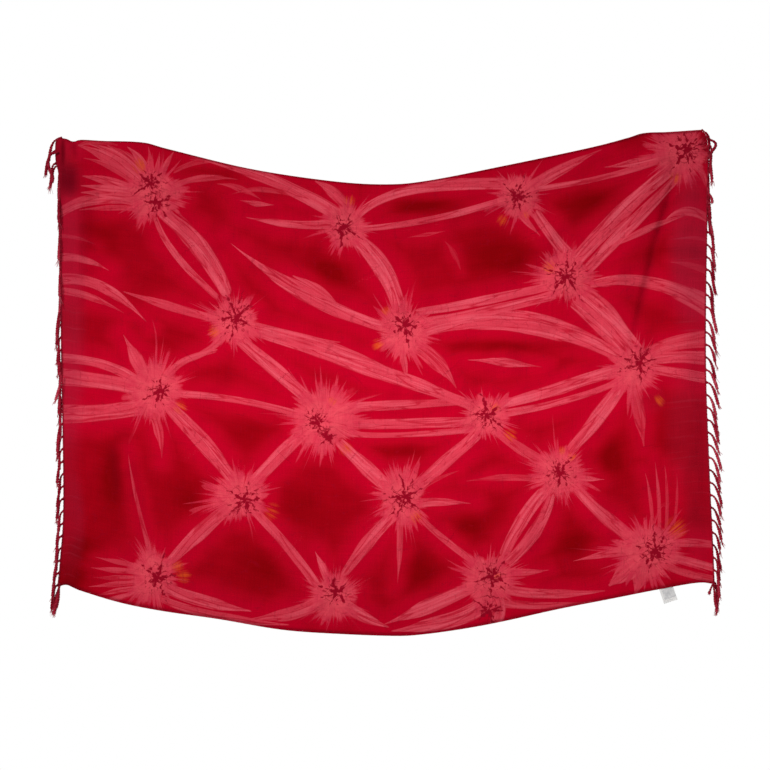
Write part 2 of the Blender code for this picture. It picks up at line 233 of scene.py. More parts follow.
# The gathers. Each is a bowed line through three points. Its half widths stay in millimetres.
GATHERS = np.array((
    # start across, height, middle across, height, end across, height, three half widths, strength
    (156, -189, 245, -273, 312, -381, 13, 28, 15, 1),
    (135, -207, 184, -291, 286, -396, 6, 10, 8, 0.9),
    (87, -100, 5, -43, -77, -8, 13, 15, 13, 0.9),
    (82, -110, 10, -64, -61, -43, 8, 10, 5, 0.6),
    (95, -89, 31, -36, -51, -5, 8, 10, 8, 0.8),
    (102, -79, 51, -36, 0, -8, 8, 13, 8, 0.8),
    (110, -74, 84, -38, 56, -13, 10, 10, 8, 0.85),
    (123, -79, 118, -43, 112, -8, 8, 8, 3, 0.7),
    (151, -79, 169, -43, 184, -18, 8, 8, 3, 0.7),
    (184, -115, 245, -95, 312, -89, 8, 8, 3, 0.6),
    (77, -120, 0, -100, -66, -89, 10, 15, 10, 0.9),
    (77, -133, 0, -120, -66, -115, 5, 10, 8, 0.75),
    (77, -141, 0, -133, -66, -133, 10, 13, 10, 0.9),
    (77, -158, -31, -151, -128, -192, 10, 15, 15, 0.95),
    (82, -174, 0, -171, -72, -181, 8, 8, 5, 0.6),
    (133, -100, 138, -59, 143, -23, 8, 8, 3, 0.7),
    (583, -181, 399, -89, 194, -36, 20, 18, 10, 0.9),
    (342, -151, 394, -161, 440, -164, 4, 8, 4, 0.8),
    (565, -215, 463, -212, 348, -192, 13, 10, 4, 0.9),
    (618, -164, 578, -125, 532, -100, 15, 18, 10, 0.9),
    (659, -181, 795, -123, 1012, -110, 10, 15, 18, 0.95),
    (670, -225, 833, -202, 1012, -156, 8, 9, 10, 0.9),
    (769, -248, 820, -240, 877, -230, 2, 5, 2, 0.5),
    (866, -253, 892, -284, 912, -335, 5, 8, 5, 0.22),
    (654, -261, 713, -330, 751, -419, 18, 26, 18, 1),
    (1094, -115, 1191, -61, 1283, -18, 20, 15, 5, 0.9),
    (1104, -125, 1268, -95, 1408, -56, 8, 8, 10, 0.85),
    (1441, -36, 1357, -56, 1268, -69, 20, 13, 5, 0.85),
    (1109, -192, 1145, -243, 1188, -294, 15, 18, 20, 1),
    (1063, -189, 1094, -222, 1117, -248, 10, 8, 3, 0.7),
    (1441, -79, 1324, -181, 1211, -299, 15, 23, 20, 1),
    (1462, -95, 1370, -189, 1242, -319, 10, 18, 15, 1),
    (1278, -284, 1395, -222, 1498, -187, 8, 10, 10, 0.8),
    (1431, -207, 1492, -179, 1564, -212, 8, 13, 10, 0.75),
    (1441, -309, 1503, -319, 1564, -340, 5, 10, 13, 0.35),
    (1452, -253, 1508, -248, 1564, -263, 3, 5, 5, 0.3),
    (1255, -365, 1408, -365, 1569, -437, 10, 18, 28, 0.9),
    (1216, -406, 1285, -470, 1349, -539, 31, 41, 26, 1),
    (1247, -391, 1298, -437, 1339, -509, 10, 13, 8, 0.8),
    (808, -437, 961, -411, 1135, -373, 10, 13, 13, 1),
    (820, -463, 974, -437, 1140, -396, 13, 15, 15, 1),
    (820, -488, 1063, -463, 1324, -555, 13, 31, 15, 0.95),
    (917, -560, 1012, -565, 1130, -580, 3, 13, 3, 0.95),
    (792, -519, 859, -575, 905, -641, 15, 23, 8, 0.8),
    (756, -521, 767, -572, 774, -624, 8, 10, 8, 0.7),
    (307, -248, 496, -381, 705, -475, 3, 23, 13, 1),
    (475, -342, 547, -381, 616, -437, 10, 13, 5, 0.7),
    (394, -478, 501, -501, 616, -516, 13, 13, 5, 0.8),
    (404, -491, 664, -575, 940, -677, 13, 23, 13, 1),
    (424, -483, 578, -524, 736, -590, 8, 13, 5, 0.85),
    (348, -509, 437, -585, 532, -667, 15, 20, 15, 1),
    (266, -452, 156, -419, 36, -381, 10, 13, 8, 0.8),
    (302, -503, 258, -539, 199, -565, 10, 8, 5, 0.6),
    (107, -606, 77, -547, 46, -488, 18, 20, 3, 1),
    (156, -611, 199, -567, 276, -539, 13, 10, 4, 0.7),
    (79, -611, -10, -570, -133, -555, 15, 13, 13, 0.95),
    (77, -631, -10, -613, -133, -603, 20, 23, 26, 0.95),
    (87, -682, -10, -695, -133, -700, 23, 26, 26, 0.9),
    (-133, -299, -56, -302, 20, -337, 13, 10, 3, 0.8),
    (-133, -358, -10, -371, 118, -473, 18, 15, 5, 0.95),
    (-133, -383, -36, -399, 61, -447, 10, 10, 3, 0.7),
    (-133, -243, -74, -248, -15, -268, 5, 5, 2, 0.4),
    (189, -647, 335, -662, 491, -698, 10, 10, 10, 0.9),
    (169, -682, 258, -777, 327, -861, 15, 23, 15, 0.95),
    (125, -693, 143, -751, 148, -820, 13, 13, 3, 0.7),
    (59, -785, 79, -905, 118, -1050, 3, 5, 8, 0.6),
    (629, -682, 756, -675, 935, -667, 13, 13, 8, 0.85),
    (634, -723, 782, -723, 935, -718, 15, 15, 13, 1),
    (634, -749, 756, -751, 930, -739, 8, 8, 8, 0.8),
    (501, -754, 440, -815, 378, -877, 18, 18, 15, 0.95),
    (608, -777, 675, -841, 741, -897, 10, 23, 13, 1),
    (1027, -672, 1165, -631, 1308, -588, 10, 18, 15, 1),
    (1032, -695, 1165, -667, 1303, -621, 10, 10, 10, 0.9),
    (946, -756, 879, -815, 808, -877, 15, 20, 15, 1),
    (1007, -744, 1063, -785, 1127, -820, 10, 15, 13, 0.7),
    (1319, -631, 1262, -708, 1196, -785, 15, 20, 13, 0.95),
    (1354, -641, 1370, -713, 1380, -790, 20, 18, 8, 0.5),
    (1395, -539, 1459, -514, 1564, -493, 15, 15, 13, 0.6),
    (1400, -549, 1467, -526, 1564, -521, 10, 10, 10, 0.7),
    (1400, -560, 1472, -552, 1564, -555, 15, 18, 20, 1),
    (1408, -585, 1472, -595, 1564, -611, 13, 15, 13, 0.95),
    (1380, -841, 1395, -907, 1400, -984, 3, 5, 5, 0.5),
    (1406, -810, 1416, -892, 1418, -984, 3, 5, 5, 0.55),
    (1431, -820, 1439, -897, 1436, -984, 3, 5, 5, 0.45),
    (1462, -841, 1464, -907, 1457, -974, 3, 4, 4, 0.35),
    (1119, -902, 1068, -969, 1025, -1050, 15, 18, 15, 0.95),
    (1140, -917, 1104, -994, 1038, -1071, 10, 20, 13, 0.95),
    (1216, -897, 1273, -956, 1349, -1020, 13, 20, 13, 0.9),
    (1216, -861, 1247, -864, 1283, -866, 10, 8, 2, 0.9),
    (1089, -861, 1012, -861, 915, -871, 8, 10, 3, 0.45),
    (317, -938, 245, -999, 174, -1071, 15, 20, 10, 0.95),
    (388, -948, 463, -1032, 532, -1122, 13, 15, 13, 0.9),
    (731, -963, 675, -1025, 618, -1101, 15, 20, 10, 0.95),
    (813, -969, 871, -1020, 946, -1076, 8, 10, 10, 0.8),
    (818, -925, 879, -923, 946, -928, 13, 10, 3, 0.9),
    (756, -969, 756, -1045, 749, -1142, 10, 8, 3, 0.6),
    (818, -887, 859, -861, 915, -841, 5, 5, 3, 0.5),
    (634, -693, 705, -682, 782, -677, 5, 5, 3, 0.5),
    (480, -764, 463, -795, 429, -841, 8, 10, 5, 0.6),
    (82, -1086, 20, -1073, -31, -1061, 5, 8, 3, 0.6),
    (77, -1101, 15, -1096, -41, -1089, 5, 8, 3, 0.6),
    (72, -1117, 10, -1117, -36, -1114, 5, 8, 3, 0.55),
    (77, -1130, 15, -1135, -46, -1140, 5, 8, 3, 0.6),
    (82, -1142, 20, -1153, -31, -1165, 5, 8, 3, 0.7),
    (189, -74, 276, -49, 388, -59, 5, 8, 3, 0.4),
    (199, -105, 284, -95, 353, -102, 5, 8, 3, 0.45),
    (386, -197, 445, -207, 501, -212, 3, 8, 3, 0.6),
    (317, -141, 404, -125, 501, -151, 5, 8, 3, 0.4),
    (92, -1153, 31, -1168, -31, -1178, 5, 8, 5, 0.8),
    (169, -1147, 258, -1178, 386, -1204, 15, 18, 10, 0.95),
    (156, -1173, 296, -1216, 491, -1237, 10, 13, 10, 0.8),
    (557, -1173, 475, -1206, 360, -1224, 18, 18, 10, 0.8),
    (572, -1122, 552, -1076, 537, -1045, 13, 13, 3, 0.95),
    (616, -1186, 667, -1219, 736, -1245, 18, 15, 10, 0.9),
    (935, -1142, 833, -1188, 700, -1242, 15, 23, 5, 0.95),
    (971, -1183, 874, -1227, 718, -1255, 26, 23, 10, 0.95),
    (1007, -1183, 1002, -1224, 971, -1260, 23, 20, 13, 0.9),
    (1032, -1147, 1140, -1158, 1298, -1147, 13, 13, 8, 0.8),
    (1043, -1101, 1094, -1101, 1145, -1096, 13, 10, 3, 0.7),
    (1025, -1181, 1140, -1188, 1268, -1173, 13, 10, 5, 0.7),
    (1349, -1040, 1280, -1055, 1191, -1076, 15, 10, 3, 0.8),
    (1370, -1076, 1324, -1109, 1283, -1142, 26, 26, 18, 0.9),
    (1452, -1032, 1498, -1027, 1574, -1035, 10, 13, 10, 0.75),
    (1457, -1061, 1503, -1076, 1574, -1096, 10, 10, 10, 0.8),
    (1441, -1086, 1498, -1107, 1574, -1122, 10, 10, 10, 0.6),
    (1370, -1101, 1365, -1135, 1354, -1163, 20, 20, 15, 0.85),
    (1503, -28, 1523, -69, 1538, -105, 13, 10, 5, 0.6),
    (-74, -15, -23, -3, 41, -13, 10, 10, 8, 0.5),
    (202, -49, 348, -56, 501, -97, 8, 13, 5, 0.5),
    (281, -110, 342, -120, 409, -156, 5, 10, 3, 0.5),
)) / (1000, 1000, 1000, 1000, 1000, 1000, 1, 1, 1, 1)
# Where the dye pooled
POOLS = np.array((
    # across, height, half width, half height, depth
    (769, -164, 56, 23, 1),
    (854, -166, 72, 23, 1),
    (1242, -151, 77, 46, 0.9),
    (1012, -294, 77, 41, 0.9),
    (92, -391, 72, 31, 0.8),
    (309, -84, 82, 23, 1),
    (475, -130, 77, 18, 0.7),
    (578, -335, 46, 51, 0.9),
    (974, -526, 123, 20, 0.9),
    (411, -1091, 66, 51, 0.6),
    (808, -1109, 51, 56, 0.8),
    (1204, -1050, 46, 51, 1),
    (1298, -828, 31, 66, 1),
    (20, -866, 33, 87, 0.9),
    (220, -917, 56, 61, 0.5),
    (501, -930, 61, 46, 0.5),
    (756, -790, 87, 23, 0.8),
    (935, -981, 41, 46, 0.8),
    (-84, -100, 26, 51, 0.8),
    (-72, -1117, 56, 61, 1),
    (-51, -1040, 41, 26, 0.8),
    (-10, -248, 46, 36, 0.5),
    (373, -739, 66, 51, 0.5),
    (1498, -291, 41, 26, 0.4),
    (1472, -764, 51, 77, 0.3),
    (1165, -521, 102, 15, 0.5),
    (411, -309, 41, 36, 0.5),
    (859, -189, 102, 20, 0.4),
    (1370, -164, 41, 26, 0.5),
    (1025, -969, 36, 56, 0.5),
)) / (1000, 1000, 1000, 1000, 1)
# Specks of the older orange dye
FLECKS = np.array((
    # across, height, reach
    (92, -64, 18),
    (626, -153, 13),
    (1020, -204, 13),
    (1078, -189, 10),
    (281, -488, 13),
    (721, -434, 10),
    (700, -521, 13),
    (1137, -325, 15),
    (194, -682, 15),
    (583, -664, 10),
    (616, -790, 15),
    (999, -682, 13),
    (1038, -751, 15),
    (1421, -662, 13),
    (429, -948, 18),
    (795, -963, 15),
    (1170, -792, 10),
    (1196, -808, 10),
    (189, -1091, 15),
    (204, -1112, 15),
    (1004, -1114, 10),
    (1462, -989, 23),
    (1462, -95, 13),
)) / 1000
# Where the dye is dusty
DUSTY_AREAS = np.array((
    # across, height, half width, half height, strength
    (-112, -406, 61, 537, 0.8),
    (-87, -23, 41, 51, 0.5),
    (-92, -969, 41, 153, 0.55),
    (1513, -291, 66, 215, 0.8),
    (1513, -713, 77, 204, 0.4),
    (1523, -943, 41, 153, 0.3),
    (1395, -662, 51, 36, 0.25),
)) / (1000, 1000, 1000, 1000, 1)
# Creases. Each is a line with its half width, how far it stands forward, and how dark the shade painted
# along it is.
CREASES = np.array((
    # start across, height, end across, height, half width, rise, shade
    (1464, -69, 1395, -309, 9.7, -5, 0.34),
    (1411, -253, 1354, -498, 9.7, -5, 0.36),
    (51, -726, 118, -1076, 15.3, -4, 0.22),
    (23, -764, 36, -930, 15.3, 0, 0.3),
    (-105, 18, -105, -69, 5.6, -4, 0.75),
    (-110, 13, -112, -176, 8.7, 8, 0),
    (-87, -56, -87, -146, 25.6, 0, 0.8),
    (-115, 13, -115, -164, 10.2, 0, 0.45),
    (-97, 8, -72, -3, 10.2, 0, 0.35),
    (-66, -59, -61, -713, 10.2, 2, 0),
    (-82, 8, -72, -49, 7.7, 0, 0.35),
    (1533, 28, 1544, -38, 10.2, -3, 0.55),
    (1370, -164, 1523, -141, 12.8, 2, 0.12),
    (-51, -23, 373, -406, 12.8, 2, 0),
    (501, -279, 808, -406, 17.9, 2.5, 0),
    (1089, -457, 1370, -406, 15.3, 2.5, 0),
    (386, -483, 578, -483, 15.3, 2, 0),
    (833, -1147, 1165, -969, 20.4, 3, 0),
)) / (1000, 1000, 1000, 1000, 1000, 1000, 1)

# A burst's chart fades out before the next one's begins, by how much nearer the first one is
BURST_CHART_FADE = (0.10, 0.40)
# How many gathers may cross at one place
GATHER_LAYERS = 5
GATHER_SAMPLES = 81
# A free end of a gather fades out over the first share of its length, and narrows over the second
GATHER_END_FADE = 0.10
GATHER_END_TAPER = 0.45
# An end this close to a burst, in its radii, runs on into it by this much
GATHER_JOINS = 1.7
GATHER_OVERLAP = 0.026
GATHER_JOINED_FADE = 0.026
# An end outside these runs on over the cloth's side
GATHER_SIDES = (-0.103, 1.530)
# How wide its very tip stays, as a share of its width
GATHER_TIP = 0.15
# How far outside its own half width a gather's chart holds
GATHER_MARGIN = 0.005
# Nearer to a knot than this, in the burst's radii, no gather is seen
GATHERS_HIDDEN = 0.75
# What a gather's chart says where there is none: nine half widths aside
NO_GATHER = (0.0, 0.0, 9.0)
# The dye runs deeper with the distance from everything that was bound, up to this far
DEEP_DYE_AT = 0.062
DEEP_DYE = 0.62
# How much more the charted pools deepen it
POOLING = 1.6
# The hem is painted darker in its fold, as painted shade
HEM_SHADE = 0.45
HEM_SHADE_REACH = (0.004, 0.011)
# A dusty area fades out between these shares of its size
DUSTY_FADE = (0.6, 1.3)

# The hems' stitches
STITCH_PITCH = 0.0036
STITCH_LENGTH = 0.0026
STITCH_RADIUS = 0.00032
STITCH_LIFT = 1.2 * STITCH_RADIUS
STITCH_INSET = 0.0048
STITCH_FRONT = 0.0005
STITCH_BACK = 0.0024

# The fringe: one knotted strand every pitch. Neighbours hang in three lanes, and each bends out
# of the cloth's side and down over its bending length.
FRINGE_PITCH = 0.0319
FIRST_ROOT = 0.012
LAST_ROOT = 0.004
STRAND_LENGTH = 0.080
ROOT_RADIUS = 0.0015
ROOT_GAP = 0.0004
LANE_SPACING = 0.007
LANE_REACHED_AT = 0.007
BEND_SPREAD = (0.90, 1.15)
LEAN_SPREAD = (-1.0, 4.0)
LENGTH_SPREAD = (0.92, 1.08)
TRACE_STEPS = 200
ROOT_STEPS = 240
LEFT_HANG = (
    # way down, bending length, end lean in degrees
    (0.00, 0.016, 5.0),
    (0.04, 0.014, 8.0),
    (0.09, 0.0018, -1.0),
    (0.36, 0.0018, 0.0),
    (0.42, 0.006, 2.0),
    (0.48, 0.003, 0.0),
    (0.60, 0.003, 1.0),
    (0.66, 0.007, 3.0),
    (0.80, 0.008, 4.0),
    (1.00, 0.009, 4.0),
)
RIGHT_HANG = (
    # way down, bending length, end lean in degrees
    (0.00, 0.012, -14.0),
    (0.06, 0.004, 0.0),
    (0.09, 0.002, -1.0),
    (0.17, 0.002, 0.0),
    (0.21, 0.011, 3.0),
    (0.38, 0.012, 6.0),
    (0.50, 0.013, 12.0),
    (0.85, 0.012, 12.0),
    (0.93, 0.008, 6.0),
    (1.00, 0.006, 0.0),
)
# How each strand is spun: two plies wound round each other, knotted, then left to fray
PLY_RADIUS = 0.0026
PLY_OFFSET = 0.0016
PLY_PITCH = 0.0125
PLY_SIDES = 5
PLY_STEP = 0.0016
# A ply is slimmer near its root: its share of the radius there and further down, and where
PLY_SLIM = (0.66, 1.10)
PLY_SLIM_UNTIL = (0.008, 0.045)
SECOND_PLY_PALER = 0.12
KNOT_AT = (0.62, 0.84)
KNOT_TURNS = 1.8
KNOT_RADIUS = 0.0026
KNOT_TUBE = 0.0017
KNOT_LENGTH = 0.0050
KNOT_RINGS = 15
FRAY_FIBRES = 9
FRAY_RINGS = 9
FRAY_RADIUS = (0.0005, 0.0011)
FRAY_SPREAD = 0.0072
FRAY_CURL = 0.0012
FRAY_WAVES = (4, 9)
FRAY_LENGTH = (0.65, 1.0)
FRAY_PALER = (0.1, 0.6)
WANDER = 0.0016
WANDER_LENGTHS = (0.014, 0.011)
ROOT_DARKER = 0.35
# A direction that no strand or stitch runs along
ALONG_NO_LINE = (0.31, 0.83, 0.46)
# Two legs join each strand to the twined cord along the side
ROOT_SPLAY = 0.0045
LEG_RADIUS = 0.0012
LEG_TONE = 0.25
# A leg meets its strand at these two of its traced points, and bends this near to its foot
LEG_MEETS = (14, 22)
LEG_BENDS = 0.45
# That cord: its core, the two plies wound round it, and how far it lies towards the cloth
TWINED_CORE = 0.0015
TWINED_PLY = 0.0016
TWINED_OFFSET = 0.0006
TWINED_PITCH = 0.016
TWINED_TONE = 0.1
TWINED_STEP = 0.0035
# Strands outside the even row: the loops and bunches at the corners
LOOSE_STRANDS = (
    # outwards side, forward, tone, then the points across and in height
    (-1, 0.003, 0.3, ((-0.116, -0.030), (-0.134, -0.035), (-0.142, -0.050), (-0.139, -0.072),
                      (-0.133, -0.087), (-0.131, -0.100), (-0.136, -0.113), (-0.142, -0.127))),
    (-1, -0.002, 0.6, ((-0.114, -0.060), (-0.126, -0.068), (-0.132, -0.083), (-0.131, -0.098),
                       (-0.135, -0.110), (-0.140, -0.125))),
    (-1, 0.006, 1.0, ((-0.108, -0.600), (-0.112, -0.625), (-0.119, -0.650), (-0.126, -0.674))),
    (-1, 0.006, 0.4, ((-0.112, -1.136), (-0.118, -1.165), (-0.124, -1.195), (-0.128, -1.219))),
    (-1, 0.000, 0.6, ((-0.114, -1.138), (-0.116, -1.165), (-0.122, -1.190), (-0.127, -1.212))),
    (-1, -0.005, 0.2, ((-0.113, -1.132), (-0.122, -1.160), (-0.128, -1.185), (-0.130, -1.206))),
    (1, 0.004, 0.2, ((1.535, 0.012), (1.549, 0.002), (1.560, -0.004), (1.562, -0.014),
                     (1.554, -0.026), (1.545, -0.040), (1.542, -0.060))),
    (1, 0.005, 0.8, ((1.541, -0.120), (1.545, -0.135), (1.552, -0.148), (1.553, -0.164))),
    (1, 0.006, 0.4, ((1.556, -1.128), (1.549, -1.146), (1.544, -1.160))),
    (1, 0.000, 0.5, ((1.557, -1.132), (1.560, -1.155), (1.562, -1.178), (1.566, -1.200),
                     (1.560, -1.217))),
    (1, -0.005, 0.3, ((1.557, -1.128), (1.566, -1.148), (1.570, -1.160), (1.568, -1.186))),
)

# The satin label sewn behind the bottom hem
LABEL_WIDTH = 0.036
LABEL_LENGTH = 0.048
LABEL_TUCKED = 0.012
LABEL_ACROSS = 1.437
LABEL_TURN = math.radians(18)
LABEL_CURL = 0.006
LABEL_BEHIND = 0.0022
LABEL_THICKNESS = 0.0005
LABEL_COLUMNS = 29
LABEL_ROWS = 37
LABEL_BORDER = 0.0055
LABEL_BORDER_RISE = 0.0004
LABEL_COCKLE = 0.0007
LABEL_COCKLE_LENGTHS = (0.0062, 0.011)
# Its end is folded up into a band, with a scalloped edge and one row of stitches
LABEL_BAND = 0.0095
LABEL_BAND_ROWS = 9
LABEL_BAND_FORWARD = 0.0011
LABEL_SCALLOPS = 3
LABEL_SCALLOP_DEPTH = 0.0016
LABEL_STITCH_PITCH = 0.0042
LABEL_STITCH_HALF = 0.0013
LABEL_STITCH_RADIUS = 0.0003
LABEL_STITCH_FORWARD = 0.0008
LABEL_STITCH_INSET = 0.0055
LABEL_STITCH_MARGINS = (0.003, 0.002)

# The room. The floor is a disc below the cloth, as if it hung from a high line.
FLOOR_HEIGHT = -2.2
FLOOR_RADIUS = 2.7
FLOOR_CORNERS = 96
# The camera looks straight at the cloth from its front
CAMERA_PLACE = (0.718, -4.646, -0.624)
CAMERA_LENS = 85
CAMERA_SENSOR = 36
# The white room is seen at its full brightness, and lights the cloth with this share of it
ROOM_LIGHT = 0.24
LIGHTS = (
    # name, place, size, watts
    ("key", (-3.6, -4.6, 3.2), 1.6, 218),
    ("fill", (3.4, -3.6, 0.4), 2.6, 24),
    ("back_fill", (0.7, 4.2, 1.6), 3.0, 110),
)
# A soft spot on the middle, because the light in the photograph falls off towards the hems
SPOT_PLACE = (0.3, -5.0, -0.2)
SPOT_WATTS = 480
SPOT_ANGLE = math.radians(14.2)
SPOT_WIDER = 2.26
SPOT_SIZE = 0.4
LIGHTS_AIM = (0.74, 0.0, -0.67)


def linear(hex_colour):
    """A colour given in sRGB hex, turned to linear."""
    channels = [int(hex_colour[i : i + 2], 16) / 255 for i in (1, 3, 5)]
    return (*[c / 12.92 if c <= 0.04045 else ((c + 0.055) / 1.055) ** 2.4 for c in channels], 1)


def smooth(value, low, high):
    """A smooth step from 0 at low to 1 at high."""
    t = np.clip((value - low) / (high - low), 0, 1)
    return t * t * (3 - 2 * t)


def smooth_line(points, steps=24):
    """A smooth curve through a table's points, as a dense row of points."""
    p = np.array(points)
    padded = np.vstack([2 * p[0] - p[1], p, 2 * p[-1] - p[-2]])
    t = np.linspace(0, 1, steps, endpoint=False)[:, None]
    pieces = []
    for a, b, c, d in zip(padded, padded[1:], padded[2:], padded[3:]):
        pieces.append(
            b + 0.5 * t * (c - a + t * (2 * a - 5 * b + 4 * c - d + t * (3 * (b - c) + d - a)))
        )
    return np.vstack([*pieces, p[-1:]])


def travelled(line):
    """The distance along a line at each of its points."""
    return np.concatenate([[0], np.cumsum(np.linalg.norm(np.diff(line, axis=0), axis=1))])


def point_on(line, ways, way):
    """The point of a line at a way along it, from the ways along it of its own points."""
    return np.stack([np.interp(way, ways, column) for column in line.T], axis=-1)


def edge(points):
    """A function that gives the point at a share of the way along an edge."""
    line = smooth_line(points)
    share = travelled(line) / travelled(line)[-1]
    return lambda s: point_on(line, share, s)


top, bottom, left, right = (edge(t) for t in (TOP_HEM, BOTTOM_HEM, LEFT_SIDE, RIGHT_SIDE))
hem_line = smooth_line(BOTTOM_HEM)


def hung(along, down):
    """Where a point of the cloth hangs, across and in height, from its shares of length and drop."""
    along, down = (np.asarray(s, float)[..., None] for s in (along, down))
    a, d = along[..., 0], down[..., 0]
    between_hems = (1 - down) * top(a) + down * bottom(a)
    between_sides = (1 - along) * left(d) + along * right(d)
    corners = (1 - down) * ((1 - along) * top(0.0) + along * top(1.0)) + down * (
        (1 - along) * bottom(0.0) + along * bottom(1.0)
    )
    return between_hems + between_sides - corners


def fold_height(across, height, fold):
    """How far one fold stands forward at a point."""
    x0, z0, x1, z1, sag, half_width, rise = fold
    run, fall = x1 - x0, z1 - z0
    way = ((across - x0) * run + (height - z0) * fall) / (run**2 + fall**2)
    way = np.clip(way, 0, 1)
    line_across = x0 + way * run
    line_height = z0 + way * fall - sag * 4 * way * (1 - way)
    aside = np.hypot(across - line_across, height - line_height)
    return rise * np.sin(np.pi * way) ** FOLD_FADE * np.exp(-((aside / half_width) ** 2))


def relief(across, height):
    """How far forward of the hanging plane the cloth stands at a point, in its main folds."""
    folds = sum(fold_height(across, height, fold) for fold in FOLDS)
    ripples = sum(
        rise * np.sin(2 * np.pi * (across - start) / length) for length, rise, start in BOTTOM_RIPPLES
    )
    above_hem = height - np.interp(across, hem_line[:, 0], hem_line[:, 1])
    near_hem = 1 - np.clip(above_hem / BOTTOM_RIPPLE_REACH, 0, 1)
    insets = across - CURL_SIDES[0], CURL_SIDES[1] - across
    curl = sum(np.exp(-np.maximum(inset, 0) / SIDE_CURL_REACH) for inset in insets)
    return folds + ripples * near_hem**2 - SIDE_CURL * curl


def cloth_point(along, down):
    """A point of the cloth with its main folds, without the finer relief."""
    across, height = np.moveaxis(hung(along, down), -1, 0)
    return np.stack([across, -relief(across, height), height], axis=-1)


def burst_chart(across, height):
    """For each point its nearest burst: the offset in that burst's radii, its number, and how far
    its chart holds before the next burst's begins."""
    offset = (np.stack([across, height], axis=-1)[:, None, :] - BURSTS[:, :2]) / BURSTS[:, 2:]
    reach = np.linalg.norm(offset, axis=-1)
    first, second = np.argsort(reach, axis=1)[:, :2].T
    every = np.arange(len(across))
    hold = smooth(reach[every, second] - reach[every, first], *BURST_CHART_FADE)
    return offset[every, first], first, hold


def gather_chart(row, points):
    """A gather's own chart: the distances along it and aside from it, the share of its half width
    that the latter is, how strongly it holds there, and the distance out from its rim."""
    x0, z0, x1, z1, x2, z2, *widths = row[:9]
    t = np.linspace(0, 1, GATHER_SAMPLES)[:, None]
    start, middle, end = (np.array(p) for p in ((x0, z0), (x1, z1), (x2, z2)))
    pull = 2 * middle - (start + end) / 2
    line = (1 - t) ** 2 * start + 2 * t * (1 - t) * pull + t**2 * end
    joins = []
    for at, onwards in ((0, line[0] - line[1]), (-1, line[-1] - line[-2])):
        joins.append(np.linalg.norm(burst_chart(*line[[at]].T)[0]) < GATHER_JOINS)
        if joins[-1]:
            further = line[at] + onwards / np.linalg.norm(onwards) * GATHER_OVERLAP
            line = np.vstack([further, line]) if at == 0 else np.vstack([line, further])
    tangent = np.gradient(line, axis=0)
    tangent /= np.linalg.norm(tangent, axis=1)[:, None]
    way = travelled(line)
    even = np.linspace(0, way[-1], GATHER_SAMPLES)
    line, tangent = (point_on(v, way, even) for v in (line, tangent))
    way = even
    nearest = np.argmin(np.linalg.norm(points[:, None] - line, axis=-1), axis=1)
    apart = points - line[nearest]
    along = way[nearest] + np.sum(apart * tangent[nearest], axis=1)
    aside = apart[:, 0] * -tangent[nearest, 1] + apart[:, 1] * tangent[nearest, 0]
    share = along / way[-1]
    half_width = np.interp(share, (0, 0.5, 1), widths) / 1000
    fade = 1.0
    for from_end, joined_there, end_across in zip((share, 1 - share), joins, (x0, x2)):
        if joined_there:
            fade = fade * smooth(from_end * way[-1], 0, GATHER_JOINED_FADE)
        elif GATHER_SIDES[0] < end_across < GATHER_SIDES[1]:
            fade = fade * smooth(from_end, 0, GATHER_END_FADE)
            taper = smooth(from_end, 0, GATHER_END_TAPER)
            half_width = half_width * (GATHER_TIP + (1 - GATHER_TIP) * taper)
    past_rim = np.maximum(np.abs(aside) - half_width, 0)
    past_end = np.maximum(np.abs(share - 0.5) - 0.5, 0) * way[-1]
    out = np.hypot(past_rim, past_end)
    hold = fade * (1 - smooth(np.abs(aside) - half_width, GATHER_MARGIN, 2 * GATHER_MARGIN))
    return along, aside, aside / half_width, hold, out


def slack(across, height):
    """The small waves of slack cloth: how far forward they stand."""
    chance = np.random.default_rng(SLACK_SEED)
    total = np.zeros_like(across)
    for _ in range(SLACK_WAVES):
        turn, start = chance.uniform(0, math.pi), chance.uniform(0, 2 * math.pi)
        length = chance.uniform(*SLACK_WAVELENGTHS)
        way = across * math.cos(turn) + height * math.sin(turn)
        rise = SLACK_RISE * length / SLACK_WAVELENGTHS[1] * 2
        total += rise * np.sin(2 * math.pi * way / length + start)
    return total


def burst_relief(offset, number):
    """The pleats and the swelling that binding leaves round each knot."""
    chance = np.random.default_rng(BURST_SEED)
    pleats = chance.integers(*BURST_PLEATS, len(BURSTS))[number]
    reach = np.linalg.norm(offset, axis=-1)
    turn = np.arctan2(offset[..., 1], offset[..., 0])
    pleat = BURST_PLEAT * np.sin(pleats * turn + number) * reach * np.exp(-((reach / PLEAT_SPREAD) ** 2))
    return BURST_SWELL * np.exp(-((reach / SWELL_SPREAD) ** 2)) + pleat


def grid_faces(rows, columns, first=0):
    """The four-sided faces over a grid of points, row by row."""
    index = first + np.arange(rows * columns).reshape(rows, columns)
    corners = index[:-1, :-1], index[1:, :-1], index[1:, 1:], index[:-1, 1:]
    return np.stack(corners, axis=-1).reshape(-1, 4)


def make_piece(name, points, faces, finish, stands_for=()):
    """A smooth-shaded piece that rides with the object, and the nodes that it stands for."""
    mesh = bpy.data.meshes.new(name)
    mesh.from_pydata(np.reshape(points, (-1, 3)).tolist(), [], [list(face) for face in faces])
    mesh.shade_smooth()
    mesh.materials.append(finish)
    piece = bpy.data.objects.new(name, mesh)
    bpy.context.scene.collection.objects.link(piece)
    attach(piece, "root")
    if stands_for:
        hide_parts(*stands_for)
    return piece


def chart(piece, name, values):
    """Keeps a number or a vector for each point of a piece, for its material to read."""
    values = np.asarray(values, dtype=np.float32)
    is_vector = values.size == 3 * len(piece.data.vertices)
    kept = piece.data.attributes.new(name, "FLOAT_VECTOR" if is_vector else "FLOAT", "POINT")
    kept.data.foreach_set("vector" if is_vector else "value", values.reshape(-1))


